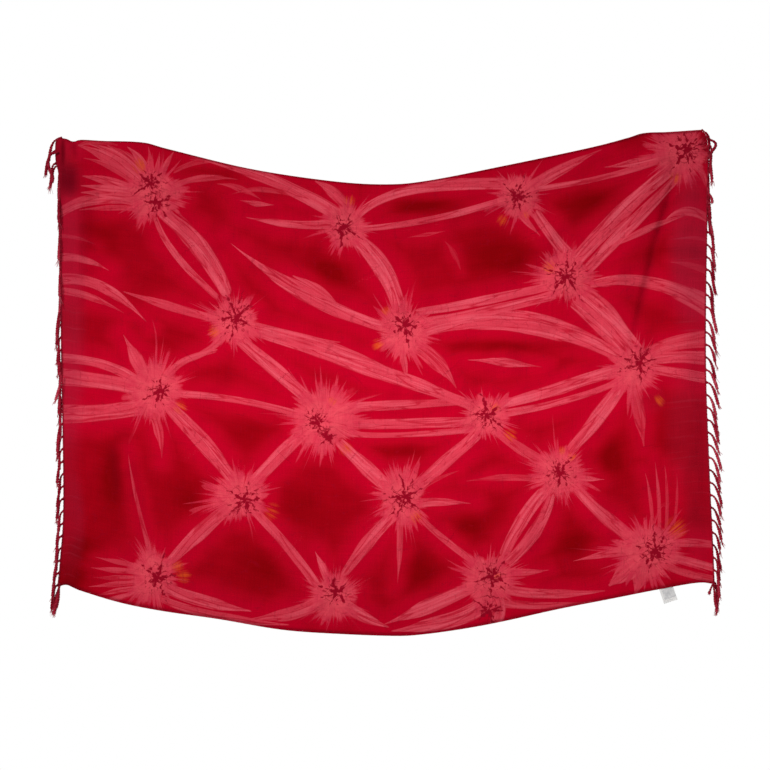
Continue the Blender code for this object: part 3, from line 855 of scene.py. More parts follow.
def make_cloth(finish):
    """The dyed sheet with its folded hems, the charts of its dye, and a chart of painted shade."""
    inset, behind = np.array(HEM_PROFILE).T
    inner = inset[-1] / CLOTH_DROP
    step = (1 - 2 * inner) / (SHEET_ROWS + 1)
    between = np.linspace(inner + step, 1 - inner - step, SHEET_ROWS)
    downs = np.concatenate([inset / CLOTH_DROP, between, 1 - inset[::-1] / CLOTH_DROP])
    behinds = np.concatenate([behind, np.zeros(SHEET_ROWS), behind[::-1]])
    alongs = np.linspace(0, 1, SHEET_COLUMNS)
    down, along = np.meshgrid(downs, alongs, indexing="ij")
    points = cloth_point(along, down).reshape(-1, 3)
    across, height = points[:, 0], points[:, 2]
    side_inset = np.minimum(along, 1 - along).reshape(-1) * CLOTH_LENGTH
    hem_inset = np.minimum(down, 1 - down).reshape(-1) * CLOTH_DROP
    calm = smooth(np.minimum(side_inset, hem_inset), *EDGE_CALM)
    offset, number, hold_of_burst = burst_chart(across, height)
    forward = slack(across, height) + burst_relief(offset, number)

    reach = np.linalg.norm(offset, axis=-1)
    clear = (reach - 1) * BURSTS[number, 2]
    layers = [np.tile(NO_GATHER, (len(points), 1)) for _ in range(GATHER_LAYERS)]
    holds = [np.zeros((len(points), 3)) for _ in range(GATHER_LAYERS)]
    flat_points = points[:, ::2]
    for which, row in enumerate(GATHERS):
        strength, ends = row[9], np.reshape(row[:6], (3, 2))
        margin = DEEP_DYE_AT + max(row[6:9]) / 1000
        inside = (flat_points > ends.min(axis=0) - margin) & (flat_points < ends.max(axis=0) + margin)
        spot = np.flatnonzero(inside.all(axis=1))
        way, aside, share, hold, out = gather_chart(row, flat_points[spot])
        clear[spot] = np.minimum(clear[spot], out + (1 - strength) * DEEP_DYE_AT / 2)
        if row[7] > RIDGE_FROM_WIDTH:
            forward[spot] += GATHER_RIDGE * strength * hold * np.exp(-(share**2))
        shown = (hold > 0) & (reach[spot] > GATHERS_HIDDEN)
        chosen = int(np.argmin([np.sum(shown & (kept[spot, 0] > 0)) for kept in holds]))
        layer, kept = layers[chosen], holds[chosen]
        free = kept[spot, 0] <= 0
        place = (hold > 0) & (free | (np.abs(share) < np.abs(layer[spot, 2])))
        for here in ((out < 3 * GATHER_MARGIN) & free & ~place, place):
            layer[spot[here]] = np.stack([way + which, aside, share], axis=1)[here]
            kept[spot[here]] = np.stack([hold, 0 * hold + strength, 0 * hold], axis=1)[here]
    # Painted shade: each crease's shade darkens the colour along its line, on top of its rise
    painted_shade, creased = np.zeros(len(points)), np.zeros(len(points))
    for x0, z0, x1, z1, half_width, rise, shade in CREASES:
        at_crease = fold_height(across, height, (x0, z0, x1, z1, 0.0, half_width, 1.0))
        creased += rise * at_crease
        painted_shade = np.maximum(painted_shade, shade * at_crease)
    points[:, 1] -= forward * calm + creased
    pucker = HEM_PUCKER * np.sin(2 * math.pi * along.reshape(-1) * CLOTH_LENGTH / HEM_PUCKER_LENGTH)
    points[:, 1] += np.repeat(behinds, SHEET_COLUMNS) + pucker * (1 - smooth(hem_inset, *PUCKER_REACH))

    depth = DEEP_DYE * smooth(clear, 0, DEEP_DYE_AT)
    for x, z, half_width, half_height, deep in POOLS:
        from_pool = np.hypot((across - x) / half_width, (height - z) / half_height)
        depth += deep * (1 - DEEP_DYE) * np.exp(-(from_pool**2)) * POOLING
    fleck = np.zeros(len(points))
    for x, z, spread in FLECKS:
        fleck = np.maximum(fleck, np.exp(-(np.hypot(across - x, height - z) / spread) ** 2))
    apart = np.stack([across, height], axis=1)[:, None] - KNOTS[:, :2]
    reaches = KNOTS[:, 2]
    nearest = np.argmin(np.linalg.norm(apart, axis=2) / reaches, axis=1)
    knot = apart[np.arange(len(points)), nearest]
    dusty = np.zeros(len(points))
    for x, z, half_width, half_height, strength in DUSTY_AREAS:
        from_area = np.hypot((across - x) / half_width, (height - z) / half_height)
        dusty = np.maximum(dusty, strength * (1 - smooth(from_area, *DUSTY_FADE)))
    hem_shade = HEM_SHADE * (1 - smooth(hem_inset, *HEM_SHADE_REACH))

    cloth = make_piece("dyed_sheet", points, grid_faces(len(downs), SHEET_COLUMNS), finish,
                       ["cloth"])
    chart(cloth, "woven", np.stack([along * CLOTH_LENGTH, down * CLOTH_DROP, 0 * along], axis=-1))
    chart(cloth, "burst", np.column_stack([offset, number]))
    chart(cloth, "burst_hold", hold_of_burst)
    chart(cloth, "knot", np.column_stack([knot, nearest]))
    chart(cloth, "knot_reach", reaches[nearest])
    chart(cloth, "dye_depth", depth)
    chart(cloth, "fleck", fleck)
    chart(cloth, "dusty", dusty)
    chart(cloth, "painted_shade", np.maximum(painted_shade, hem_shade))
    for k in range(GATHER_LAYERS):
        chart(cloth, f"gather_{k}", layers[k])
        chart(cloth, f"gather_hold_{k}", holds[k])
    return cloth


def round_line(line, turn):
    """The direction across a line at each of its points, at a turn round it. The turns start from
    one side that follows the line's bends."""
    tangent = np.gradient(line, axis=0)
    tangent /= np.linalg.norm(tangent, axis=1)[:, None]
    aside = np.cross(tangent[0], ALONG_NO_LINE)
    asides = []
    for t in tangent:
        aside = aside - np.dot(aside, t) * t
        aside = aside / np.linalg.norm(aside)
        asides.append(aside)
    asides = np.array(asides)
    return np.cos(turn) * asides + np.sin(turn) * np.cross(tangent, asides)


def tube(line, radii, sides):
    """The points and faces of a closed tube along a line."""
    radii = np.broadcast_to(radii, len(line))
    turn = np.linspace(0, 2 * math.pi, sides, endpoint=False)[:, None, None]
    rings = line + radii[:, None] * round_line(line, turn)
    points = np.swapaxes(rings, 0, 1).reshape(-1, 3)
    index = np.arange(len(points)).reshape(len(line), sides)
    after = np.roll(index, -1, axis=1)
    walls = np.stack([index[:-1], after[:-1], after[1:], index[1:]], axis=-1).reshape(-1, 4)
    caps = [index[0][::-1].tolist(), index[-1].tolist()]
    return points, walls.tolist() + caps


def joined(parts):
    """One set of points, faces and tones out of several."""
    points, faces, tones, first = [], [], [], 0
    for part_points, part_faces, tone in parts:
        points.append(part_points)
        faces += [[first + k for k in face] for face in part_faces]
        tones.append(np.broadcast_to(tone, len(part_points)))
        first += len(part_points)
    return np.vstack(points), faces, np.concatenate(tones)


def along_line(line, step):
    """The line again, with even steps."""
    way = travelled(line)
    at = np.linspace(0, way[-1], max(3, round(way[-1] / step) + 1))
    return point_on(line, way, at), at


def wound(line, at, offset, pitch, start):
    """A line wound round another one, whose distances along it are given too."""
    turn = 2 * math.pi * at[:, None] / pitch + start
    return line + np.reshape(offset, (-1, 1)) * round_line(line, turn)


def spun_strand(line, chance, tone):
    """A strand of two plies wound round each other, with its knot and its frayed end."""
    line, at = along_line(line, PLY_STEP)
    length = at[-1]
    sway = chance.uniform(-WANDER, WANDER, (2, 1)) * (at / length) ** 1.5
    start = chance.uniform(0, 2 * math.pi)
    across = sway[0] * np.sin(at / WANDER_LENGTHS[0] + start)
    forward = sway[1] * np.sin(at / WANDER_LENGTHS[1])
    line = line + np.column_stack([across, forward, np.zeros(len(at))])
    knot = chance.uniform(*KNOT_AT) * length
    spun = at <= knot + KNOT_LENGTH
    slim = PLY_SLIM[0] + (PLY_SLIM[1] - PLY_SLIM[0]) * smooth(at[spun], *PLY_SLIM_UNTIL)
    parts = []
    for ply in range(2):
        core = wound(line[spun], at[spun], PLY_OFFSET * slim, PLY_PITCH, start + ply * math.pi)
        shade = tone * 0.5 + SECOND_PLY_PALER * ply + ROOT_DARKER * (slim - slim[-1])
        parts.append((*tube(core, PLY_RADIUS * slim, PLY_SIDES), np.repeat(shade, PLY_SIDES)))
    along_knot = KNOT_LENGTH * np.linspace(0, 1, KNOT_RINGS)
    centre = point_on(line, at, knot + along_knot)
    core = wound(centre, along_knot, KNOT_RADIUS, KNOT_LENGTH / KNOT_TURNS, start)
    parts.append((*tube(core, KNOT_TUBE, 5), tone * 0.6 + 0.1))
    tail = np.linspace(0, 1, FRAY_RINGS)
    for _ in range(FRAY_FIBRES):
        reach = chance.uniform(*FRAY_LENGTH)
        fibre = point_on(line, at, knot + (length - knot) * tail * reach)
        spread = chance.normal(0, FRAY_SPREAD / 2, 3) * (1, 1, 0.5)
        curl = chance.uniform(-FRAY_CURL, FRAY_CURL, 3)
        curl = curl * np.sin(tail * chance.uniform(*FRAY_WAVES))[:, None]
        fibre = fibre + spread * tail[:, None] ** 1.2 + curl
        radius = chance.uniform(*FRAY_RADIUS) * (1 - 0.5 * tail**2)
        parts.append((*tube(fibre, radius, 4), tone * 0.5 + chance.uniform(*FRAY_PALER)))
    return joined(parts)


def strand_line(root, outwards, bending_length, end_lean, lane):
    """The line that a strand takes from its root, point by point, and the distances along it."""
    steps, step = np.linspace(0, LENGTH_SPREAD[1] * STRAND_LENGTH, TRACE_STEPS, retstep=True)
    lean = end_lean + (math.pi / 2 - end_lean) * np.exp(-steps / bending_length)
    out = np.cumsum(np.sin(lean)) * step
    fall = np.cumsum(np.cos(lean)) * step
    aside = np.clip(steps / LANE_REACHED_AT, 0, 1)
    line = np.stack([outwards * out, lane * aside**2 * (3 - 2 * aside), -fall], axis=1)
    return line + root - line[0], steps


def root_line(along, outwards):
    """The line down a side where its fringe is rooted, just clear of the cloth's cut edge."""
    downs = np.linspace(0, 1, ROOT_STEPS)
    line = cloth_point(np.full_like(downs, along), downs)
    tangent = np.gradient(line, axis=0)
    normal = np.stack([-tangent[:, 2], np.zeros(len(line)), tangent[:, 0]], axis=1)
    normal *= outwards * np.sign(normal[:, :1]) / np.linalg.norm(normal, axis=1)[:, None]
    return line + normal * (ROOT_GAP + ROOT_RADIUS)


def make_fringe(name, node, along, outwards, hang, seed, finish):
    """One side's fringe: the twined root, its spun and knotted strands, and the loose ones."""
    root = root_line(along, outwards)
    way_down = travelled(root)
    chance = np.random.default_rng(seed)
    detail = np.random.default_rng(seed + 100)
    ways, bends, leans = np.array(hang).T
    first, last = FIRST_ROOT, way_down[-1] - LAST_ROOT
    parts, lines = [], []
    for i, at in enumerate(np.linspace(first, last, round((last - first) / FRINGE_PITCH) + 1)):
        way = at / way_down[-1]
        bend = np.interp(way, ways, bends) * chance.uniform(*BEND_SPREAD)
        lean = math.radians(np.interp(way, ways, leans) + chance.uniform(*LEAN_SPREAD))
        start = point_on(root, way_down, at)
        line, steps = strand_line(start, outwards, bend, lean, LANE_SPACING * (1 - i % 3))
        length = STRAND_LENGTH * chance.uniform(*LENGTH_SPREAD)
        lines.append((line[steps <= length], detail.uniform(0, 1)))
        for splay in (-ROOT_SPLAY, ROOT_SPLAY):
            foot = point_on(root, way_down, np.clip(at + splay, 0, way_down[-1]))
            bend_at = foot * LEG_BENDS + line[LEG_MEETS[0]] * (1 - LEG_BENDS)
            leg = smooth_line([foot, bend_at, line[LEG_MEETS[1]]], 5)
            parts.append((*tube(leg, LEG_RADIUS, 4), LEG_TONE))
    for side, forward, tone, points in LOOSE_STRANDS:
        if side == outwards:
            flat = smooth_line(points, 8)
            lines.append((np.insert(flat, 1, -forward, axis=1), tone))
    parts += [spun_strand(line, detail, tone) for line, tone in lines]
    cord, at = along_line(root, TWINED_STEP)
    inwards = np.array((-outwards * TWINED_OFFSET, 0.0, 0.0))
    parts.append((*tube(cord + inwards, TWINED_CORE, 6), TWINED_TONE))
    for ply in range(2):
        core = wound(cord, at, TWINED_OFFSET, TWINED_PITCH, ply * math.pi)
        parts.append((*tube(core, TWINED_PLY, 5), TWINED_TONE))
    points, faces, tones = joined(parts)
    fringe = make_piece(name, points, faces, finish, [node])
    chart(fringe, "tone", tones)
    return fringe


def make_hem_stitching(finish):
    """A row of stitches along both hems, seen on the front and on the back."""
    parts = []
    count = round(CLOTH_LENGTH / STITCH_PITCH)
    for down in (STITCH_INSET / CLOTH_DROP, 1 - STITCH_INSET / CLOTH_DROP):
        for behind, shift in ((-STITCH_FRONT, 0.0), (STITCH_BACK, 0.5)):
            lift = STITCH_LIFT if behind < 0 else -STITCH_LIFT
            for k in range(1, count - 1):
                middle = (k + shift) / count
                half = STITCH_LENGTH / CLOTH_LENGTH / 2
                ends = np.array([middle - half, middle, middle + half])
                line = cloth_point(ends, np.full(3, down))
                line[:, 1] += behind - lift * np.array([-1.0, 1.0, -1.0])
                parts.append((*tube(line, STITCH_RADIUS, 4), 0))
    points, faces, _ = joined(parts)
    return make_piece("hem_stitching", points, faces, finish)


def label_point(across, down, forward=0.0):
    """A point of the label from the distances across it from its middle, and down it."""
    hem_height = np.interp(LABEL_ACROSS, hem_line[:, 0], hem_line[:, 1])
    cosine, sine = math.cos(LABEL_TURN), math.sin(LABEL_TURN)
    z = LABEL_TUCKED - down
    x, height = LABEL_ACROSS + across * cosine - z * sine, hem_height + across * sine + z * cosine
    free = np.maximum(0.0, -z / (LABEL_LENGTH - LABEL_TUCKED))
    back = -relief(x, np.maximum(height, hem_height))
    return np.stack([x, back + LABEL_BEHIND - LABEL_CURL * free**2 - forward, height], axis=-1)


def make_label(finish, thread):
    """The blank satin label: a woven border at its left, and its end folded up and stitched."""
    half = LABEL_WIDTH / 2
    down, across = np.meshgrid(np.linspace(0, LABEL_LENGTH, LABEL_ROWS),
                               np.linspace(-half, half, LABEL_COLUMNS), indexing="ij")
    border = 1 - smooth(across + half, LABEL_BORDER * 0.8, LABEL_BORDER)
    waves = np.sin(across / LABEL_COCKLE_LENGTHS[0] + down / LABEL_COCKLE_LENGTHS[1])
    cockle = LABEL_COCKLE * waves * smooth(down, LABEL_TUCKED, LABEL_LENGTH)
    main = label_point(across, down, cockle + LABEL_BORDER_RISE * border)
    band_across = across[-LABEL_BAND_ROWS:]
    scallops = np.abs(np.sin(math.pi * LABEL_SCALLOPS * (band_across / LABEL_WIDTH + 0.5)))
    share = np.linspace(0, 1, LABEL_BAND_ROWS)[:, None]
    band_down = LABEL_LENGTH - (LABEL_BAND - LABEL_SCALLOP_DEPTH * scallops) * (1 - share)
    swell = LABEL_BAND_FORWARD * (0.6 + 0.4 * np.sin(math.pi * share)) + cockle[-LABEL_BAND_ROWS:]
    band = label_point(band_across, band_down, swell)
    points = np.vstack([main.reshape(-1, 3), band.reshape(-1, 3)])
    faces = np.vstack([
        grid_faces(LABEL_ROWS, LABEL_COLUMNS),
        grid_faces(LABEL_BAND_ROWS, LABEL_COLUMNS, main.size // 3),
    ])
    label = make_piece("satin_label", points, faces, finish, ["care_label"])
    shell = label.modifiers.new("thickness", "SOLIDIFY")
    shell.thickness = LABEL_THICKNESS
    shell.offset = 0
    chart(label, "bright", np.concatenate([border.reshape(-1), np.ones(band.size // 3)]))
    parts = []
    first, last = LABEL_STITCH_MARGINS[0] - half, half - LABEL_STITCH_MARGINS[1]
    for x in np.arange(first, last, LABEL_STITCH_PITCH):
        ends = np.array([x - LABEL_STITCH_HALF, x, x + LABEL_STITCH_HALF])
        height = np.full(3, LABEL_LENGTH - LABEL_STITCH_INSET)
        line = label_point(ends, height, LABEL_BAND_FORWARD + LABEL_STITCH_FORWARD)
        parts.append((*tube(line, LABEL_STITCH_RADIUS, 4), 0))
    points, faces, _ = joined(parts)
    return label, make_piece("label_stitching", points, faces, thread)


def add_node(tree, kind, *inputs, at=None, **named):
    """Adds one node. After its kind comes its operation, where it has one. Its inputs come in the
    order of its sockets, or of the socket numbers in at, and otherwise by name, with a capital.
    Its settings come by name too. A node given as an input stands for its first output.
    A MapRange's inputs are a value, the range that it comes from and the range that it goes to."""
    kind, _, operation = kind.partition(" ")
    node = tree.nodes.new("ShaderNode" + kind)
    if operation:
        node.operation = operation.upper().replace(" ", "_")
    sockets = dict(zip(at or range(len(inputs)), inputs))
    for name, value in named.items():
        if name[0].isupper():
            sockets[name] = value
        else:
            setattr(node, name, value)
    for socket, value in sockets.items():
        value = value.outputs[0] if isinstance(value, bpy.types.Node) else value
        if isinstance(value, bpy.types.NodeSocket):
            tree.links.new(value, node.inputs[socket])
        else:
            node.inputs[socket].default_value = value
    return node


def new_finish(name, **values):
    """A new material with its shader's own values. Gives the material and a way to add nodes."""
    made = bpy.data.materials.new(name)
    made.use_nodes = True
    shader = made.node_tree.nodes["Principled BSDF"]
    for socket, value in values.items():
        shader.inputs[socket.replace("_", " ")].default_value = value
    return made, functools.partial(add_node, made.node_tree)


def set_tones(ramp, *tones):
    """Gives a colour ramp its tones, from its start on."""
    stops = ramp.color_ramp.elements
    stops.remove(stops[1])
    for at, tone in tones:
        stop = stops[0] if at == 0 else stops.new(at)
        stop.position, stop.color = at, linear(tone)


def finished(made, colour, **others):
    """Links a material's last nodes to its shader: the colour, and others by their sockets."""
    tree = made.node_tree
    shader = tree.nodes["Principled BSDF"]
    tree.links.new(colour, shader.inputs["Base Color"])
    for socket, node in others.items():
        tree.links.new(node.outputs[0], shader.inputs[socket])
    return made


# The Mix node's sockets for its factor and its two colours
COLOUR_MIX = (0, 6, 7)

# What the dyer's reds are, from the deepest pool to the palest burst, and last the red of the painted
# shade
POOL_RED = "#8c0008"
DEEP_RED = "#a30012"
MIDDLE_RED = "#b8021d"
BRIGHT_RED = "#c40024"
GATHER_SHADE = "#b80e29"
GATHER_PINK = "#df3e52"
GATHER_LIGHT = "#ea5566"
RAY_PINK = "#d6304a"
BURST_PINK = "#ea4c5c"
KNOT_CRIMSON = "#9a0822"
FLECK_ORANGE = "#e0531c"
DUSTY_RED = "#a61c38"
DUSTY_THREAD = "#bc3e58"
# Painted shade, laid along the creases, seams and folded corners and into the hems' folds
PAINTED_CREASE_SHADE = "#6c0012"

# The rays round a burst: thin wedges that run out from its patch to points of unlike lengths
RAYS = (
    # wedges round, share of each that is a ray, how round its tip is (1 is a point), starts at,
    # shortest, longest, in the burst's radii
    (31.0, 0.98, 0.45, 0.94, 0.02, 0.40),
    (53.0, 0.90, 0.80, 0.91, 0.04, 0.65),
    (37.0, 0.62, 1.00, 0.86, 0.08, 0.95),
    (19.0, 0.42, 1.00, 0.80, 0.20, 1.35),
)
# The hairlines of dye that run into the patch between them
CUTS_ROUND = 47.0
CUT_WIDENS = 0.20
CUT_BEGINS = (0.42, 1.15)
# The strokes of dye that crept in under each knot's binding
STROKES = (
    # strokes round, half width in metres, shortest, longest, in the knot's reach
    (5.0, 0.0036, 0.45, 1.00),
    (9.0, 0.0026, 0.25, 0.85),
)


def streaked(add, where, turns, **noise):
    """A noise drawn out along the threads, from how many turns it takes to the metre each way."""
    return add("TexNoise", add("VectorMath multiply", where, turns), Scale=1.0, **noise)


def turn_round(add, flat):
    """How far round its middle a point lies, as a share of a whole turn."""
    axes = add("SeparateXYZ", flat).outputs
    turn = add("Math arctan2", axes["Y"], axes["X"])
    return add("Math multiply add", turn, 0.5 / math.pi, 0.5)


def dyed_ground(add, woven):
    """The base dye: watery, and deeper away from the bursts and gathers."""
    depth = add("Attribute", attribute_name="dye_depth").outputs["Fac"]
    water = add("TexNoise", woven, Scale=5.0, Detail=3.0, Distortion=0.5)
    runs = streaked(add, woven, (11.0, 42.0, 1.0), Detail=3.0)
    depth = add("Math multiply add", water, 0.42, depth)
    depth = add("Math multiply add", runs, 0.26, depth)
    depth = add("Math subtract", depth, 0.36)
    base = add("ValToRGB", depth)
    set_tones(base, (0.0, BRIGHT_RED), (0.34, MIDDLE_RED), (0.68, DEEP_RED), (1.0, POOL_RED))
    return base.outputs["Color"], water


def gathers_shown(add):
    """The gathers: pale petals along each one's chart, cut by hairlines where its pleats touched,
    and ragged at rim and ends. Gives how pale, how much shade round them, and how bright."""
    gathered, shaded, lit = None, None, None
    for k in range(GATHER_LAYERS):
        gather = add("Attribute", attribute_name=f"gather_{k}").outputs["Vector"]
        holds = add("Attribute", attribute_name=f"gather_hold_{k}").outputs["Vector"]
        share = add("SeparateXYZ", gather).outputs["Z"]
        holds = add("SeparateXYZ", holds).outputs
        petals = streaked(add, gather, (5.0, 58.0, 0.0), Detail=1.5, Roughness=0.5)
        streaks = streaked(add, gather, (9.0, 190.0, 0.0), Detail=2.0)
        rim = add("Math absolute", share)
        rim = add("MapRange", rim, 1.25, 0.60, interpolation_type="SMOOTHSTEP")
        held = add("Math multiply", rim, holds["X"])
        limit = add("Math multiply add", held, -0.60, 0.84)
        over = add("Math subtract", petals, limit)
        over = add("Math multiply add", streaks, 0.16, over)
        shown = add("MapRange", over, 0.01, 0.17, interpolation_type="SMOOTHSTEP")
        for noise, middle, wide, kept in ((petals, 0.50, 0.030, 0.30), (streaks, 0.44, 0.034, 0.66)):
            pleats = add("Math subtract", noise, middle)
            pleats = add("Math absolute", pleats)
            hairline = add("MapRange", pleats, 0.25 * wide, wide, kept)
            shown = add("Math multiply", shown, hairline)
        shown = add("Math multiply", shown, holds["Y"])
        shade = add("Math multiply", held, holds["Y"])
        bright = add("Math add", petals, streaks)
        bright = add("MapRange", bright, 0.95, 1.25)
        bright = add("Math multiply", bright, shade)
        gathered = add("Math maximum", shown, gathered) if gathered else shown
        shaded = add("Math maximum", shade, shaded) if shaded else shade
        lit = add("Math maximum", bright, lit) if lit else bright
    return gathered, shaded, lit


def bursts_shown(add, woven):
    """The bursts. A wedge's number sets its ray's length, and slow noises bend the wedges and
    make one side of a burst reach further than another. Gives how pale, its tone, its grain, and
    where its chart holds."""
    burst = add("Attribute", attribute_name="burst").outputs["Vector"]
    seed = add("SeparateXYZ", burst).outputs["Z"]
    flat = add("VectorMath multiply", burst, (1, 1, 0))
    ragged = add("TexNoise", woven, Scale=80.0, Detail=3.0)
    ragged = add("Math subtract", ragged, 0.5)
    reach = add("VectorMath length", flat).outputs["Value"]
    reach = add("Math multiply add", ragged, 0.20, reach)
    heading = add("VectorMath normalize", flat)
    drift = add("Math multiply", reach, 0.16)
    drift = add("Math multiply add", seed, 7.3, drift)
    drift = add("CombineXYZ", Z=drift)
    place = add("VectorMath multiply add", heading, (1.9, 1.9, 1.9), drift)
    slow = add("TexNoise", place, Scale=1.0, Detail=2.0).outputs
    bend = add("Math subtract", slow[0], 0.5)
    side = add("SeparateXYZ", slow["Color"]).outputs["Y"]
    stretch = add("MapRange", side, 0.32, 0.66, 0.45, 1.50)
    bulge = add("MapRange", side, 0.32, 0.66, -0.10, 0.12)
    nearer = add("Math subtract", reach, bulge)
    turn = turn_round(add, flat)
    turn = add("Math multiply add", bend, 0.16, turn)
    rayed = None
    for wedges, share, roundness, start, shortest, longest in RAYS:
        draw, from_middle = wedge(add, turn, wedges, seed)
        draw = add("Math power", draw, 1.8)
        length = add("MapRange", draw, 0.0, 1.0, shortest, longest)
        length = add("Math multiply", length, stretch)
        narrow = add("Math multiply add", from_middle, -2.0 / share, 1.0)
        narrow = add("Math maximum", narrow, 0.0)
        narrow = add("Math power", narrow, roundness)
        tip = add("Math multiply add", narrow, length, start)
        inside = add("Math subtract", tip, nearer)
        ray = add("MapRange", inside, -0.04, 0.16, interpolation_type="SMOOTHSTEP")
        rayed = add("Math maximum", rayed, ray) if rayed else ray
    # A cut begins at its own distance in the patch and widens outwards
    draw, from_middle = wedge(add, turn, CUTS_ROUND, seed)
    begins = add("MapRange", draw, 0.0, 1.0, CUT_BEGINS[0], CUT_BEGINS[1])
    beyond = add("Math subtract", nearer, begins)
    open_share = add("Math multiply", beyond, CUT_WIDENS)
    cut = add("Math subtract", open_share, from_middle)
    cut = add("MapRange", cut, -0.05, 0.03, 0.0, 0.75)
    uncut = add("Math subtract", 1.0, cut)
    rayed = add("Math multiply", rayed, uncut)
    fade = add("MapRange", nearer, 0.85, 1.9, 1.0, 0.45)
    rayed = add("Math multiply", rayed, fade)
    held = add("Attribute", attribute_name="burst_hold").outputs["Fac"]
    rayed = add("Math multiply", rayed, held)

    grain = add("VectorMath multiply add", heading, (13.0, 13.0, 13.0), drift)
    grain = add("TexNoise", grain, Scale=1.0, Detail=5.0, Roughness=0.65)
    mottle = add("TexNoise", woven, Scale=42.0, Detail=5.0, Roughness=0.6)
    paling = add("MapRange", reach, 1.25, 0.45, 0.0, 0.60)
    paling = add("Math multiply add", mottle, 1.9, paling)
    paling = add("Math multiply add", grain, 1.7, paling)
    paling = add("Math subtract", paling, 1.68)
    tone = add("Mix", paling, linear(RAY_PINK), linear(BURST_PINK), at=COLOUR_MIX, data_type="RGBA")
    return rayed, tone.outputs[2], grain, held


def wedge(add, turn, wedges, seed):
    """Splits a turn into wedges: each one's random number, and how far a point is from its middle."""
    way_round = add("Math multiply", turn, wedges)
    number = add("Math floor", way_round)
    number = add("Math floored modulo", number, wedges)
    key = add("CombineXYZ", X=number, Y=seed, Z=wedges)
    draw = add("TexWhiteNoise", key).outputs["Value"]
    within = add("Math fract", way_round)
    from_middle = add("Math subtract", within, 0.5)
    return draw, add("Math absolute", from_middle)


def knots_shown(add):
    """The knots: tapering strokes of dye that branch and break, with cracks between them."""
    knot = add("Attribute", attribute_name="knot").outputs["Vector"]
    limit = add("Attribute", attribute_name="knot_reach").outputs["Fac"]
    seed = add("SeparateXYZ", knot).outputs["Z"]
    shake = add("TexNoise", knot, Scale=62.0, Detail=2.0).outputs["Color"]
    shake = add("VectorMath subtract", shake, (0.5, 0.5, 0.5))
    shaken = add("VectorMath multiply add", shake, (0.020, 0.020, 0.0), knot)
    flat = add("VectorMath multiply", shaken, (1, 1, 0))
    away = add("VectorMath length", flat).outputs["Value"]
    share = add("Math divide", away, limit)
    gaps = add("TexNoise", knot, Scale=85.0, Detail=1.0)
    gaps = add("MapRange", gaps, 0.36, 0.60, -0.0021, 0.0013)
    turn = turn_round(add, flat)
    turn = add("Math multiply add", seed, 0.137, turn)
    cracked = None
    for strokes, half_width, shortest, longest in STROKES:
        draw, from_middle = wedge(add, turn, strokes, seed)
        length = add("MapRange", draw, 0.0, 1.0, shortest, longest)
        used = add("Math divide", share, length)
        used = add("Math power", used, 2.0)
        room = add("Math multiply add", used, -half_width, half_width)
        room = add("Math add", room, gaps)
        aside = add("Math multiply", from_middle, away)
        aside = add("Math multiply", aside, 2 * math.pi / strokes)
        stroke = add("Math subtract", room, aside)
        stroke = add("MapRange", stroke, -0.0006, 0.0010)
        cracked = add("Math maximum", stroke, cracked) if cracked else stroke
    for size, start, end, strength in ((58.0, 0.092, -0.06, 0.95), (30.0, 0.035, 0.018, 0.32)):
        cells = add("VectorMath multiply", shaken, (size, size, 3.7))
        cracks = add("TexVoronoi", cells, Scale=1.0, feature="DISTANCE_TO_EDGE")
        wide = add("MapRange", share, 0.0, 1.0, start, end)
        crack = add("Math subtract", wide, cracks)
        crack = add("Math multiply add", gaps, 14.0, crack)
        crack = add("MapRange", crack, -0.01, 0.03, 0.0, strength)
        cracked = add("Math maximum", crack, cracked)
    return cracked


def resist_dyed_rayon():
    """Plain-woven rayon, tied and dipped in reds: matt, with pale bursts whose rays are sharp,
    and long gathers that pale between hairlines of dye."""
    made, add = new_finish(
        "resist_dyed_rayon", Roughness=0.85, Specular_IOR_Level=0.02)
    woven = add("Attribute", attribute_name="woven").outputs["Vector"]
    colour, water = dyed_ground(add, woven)
    gathered, shaded, lit = gathers_shown(add)
    rayed, burst_tone, grain, held = bursts_shown(add, woven)
    cracked = add("Math multiply", knots_shown(add), held)

    # Flecks of orange, where an older dye shows between the rays
    fleck = add("Attribute", attribute_name="fleck").outputs["Fac"]
    streak = add("MapRange", grain, 0.38, 0.62)
    fleck = add("Math multiply", fleck, streak)
    fleck = add("MapRange", fleck, 0.10, 0.65, 0.0, 0.70)

    # Slubs: threads are 0.35 mm apart, too fine to show, so every third or so is drawn
    weft = streaked(add, woven, (14.0, 420.0, 1.0), Detail=1.0)
    warp = streaked(add, woven, (420.0, 14.0, 1.0), Detail=1.0)
    threads = add("Math add", weft, warp)

    # Towards the fringes the dye is dusty, and single threads across took less of it
    dusty = add("Attribute", attribute_name="dusty").outputs["Fac"]
    stray = streaked(add, woven, (4.0, 95.0, 1.0), Detail=2.0)
    stray = add("MapRange", stray, 0.60, 0.74, 0.0, 0.22)
    stray = add("Math multiply", stray, dusty)
    dusty = add("Math multiply", dusty, water)
    # Painted shade along the creases, seams and folded corners, and in the hems' folds
    painted_shade = add("Attribute", attribute_name="painted_shade").outputs["Fac"]
    # Each mask lays its tone over what is below it
    for mask, tone in (
        (add("Math multiply", shaded, 0.55), linear(GATHER_SHADE)),
        (gathered, linear(GATHER_PINK)),
        (add("Math multiply", gathered, lit), linear(GATHER_LIGHT)),
        (rayed, burst_tone),
        (fleck, linear(FLECK_ORANGE)),
        (cracked, linear(KNOT_CRIMSON)),
        (dusty, linear(DUSTY_RED)),
        (stray, linear(DUSTY_THREAD)),
        (painted_shade, linear(PAINTED_CREASE_SHADE)),
    ):
        colour = add("Mix", mask, colour, tone, at=COLOUR_MIX, data_type="RGBA").outputs[2]
    shade = add("MapRange", threads, 0.7, 1.3, 0.93, 1.06)
    colour = add("VectorMath multiply", colour, shade)

    height = add("Math maximum", gathered, rayed)
    height = add("Math multiply add", cracked, -1.0, height)
    height = add("Math multiply add", height, 0.9, threads)
    bump = add("Bump", Height=height, Strength=0.5, Distance=0.0009)
    return finished(made, colour.outputs[0], Normal=bump)


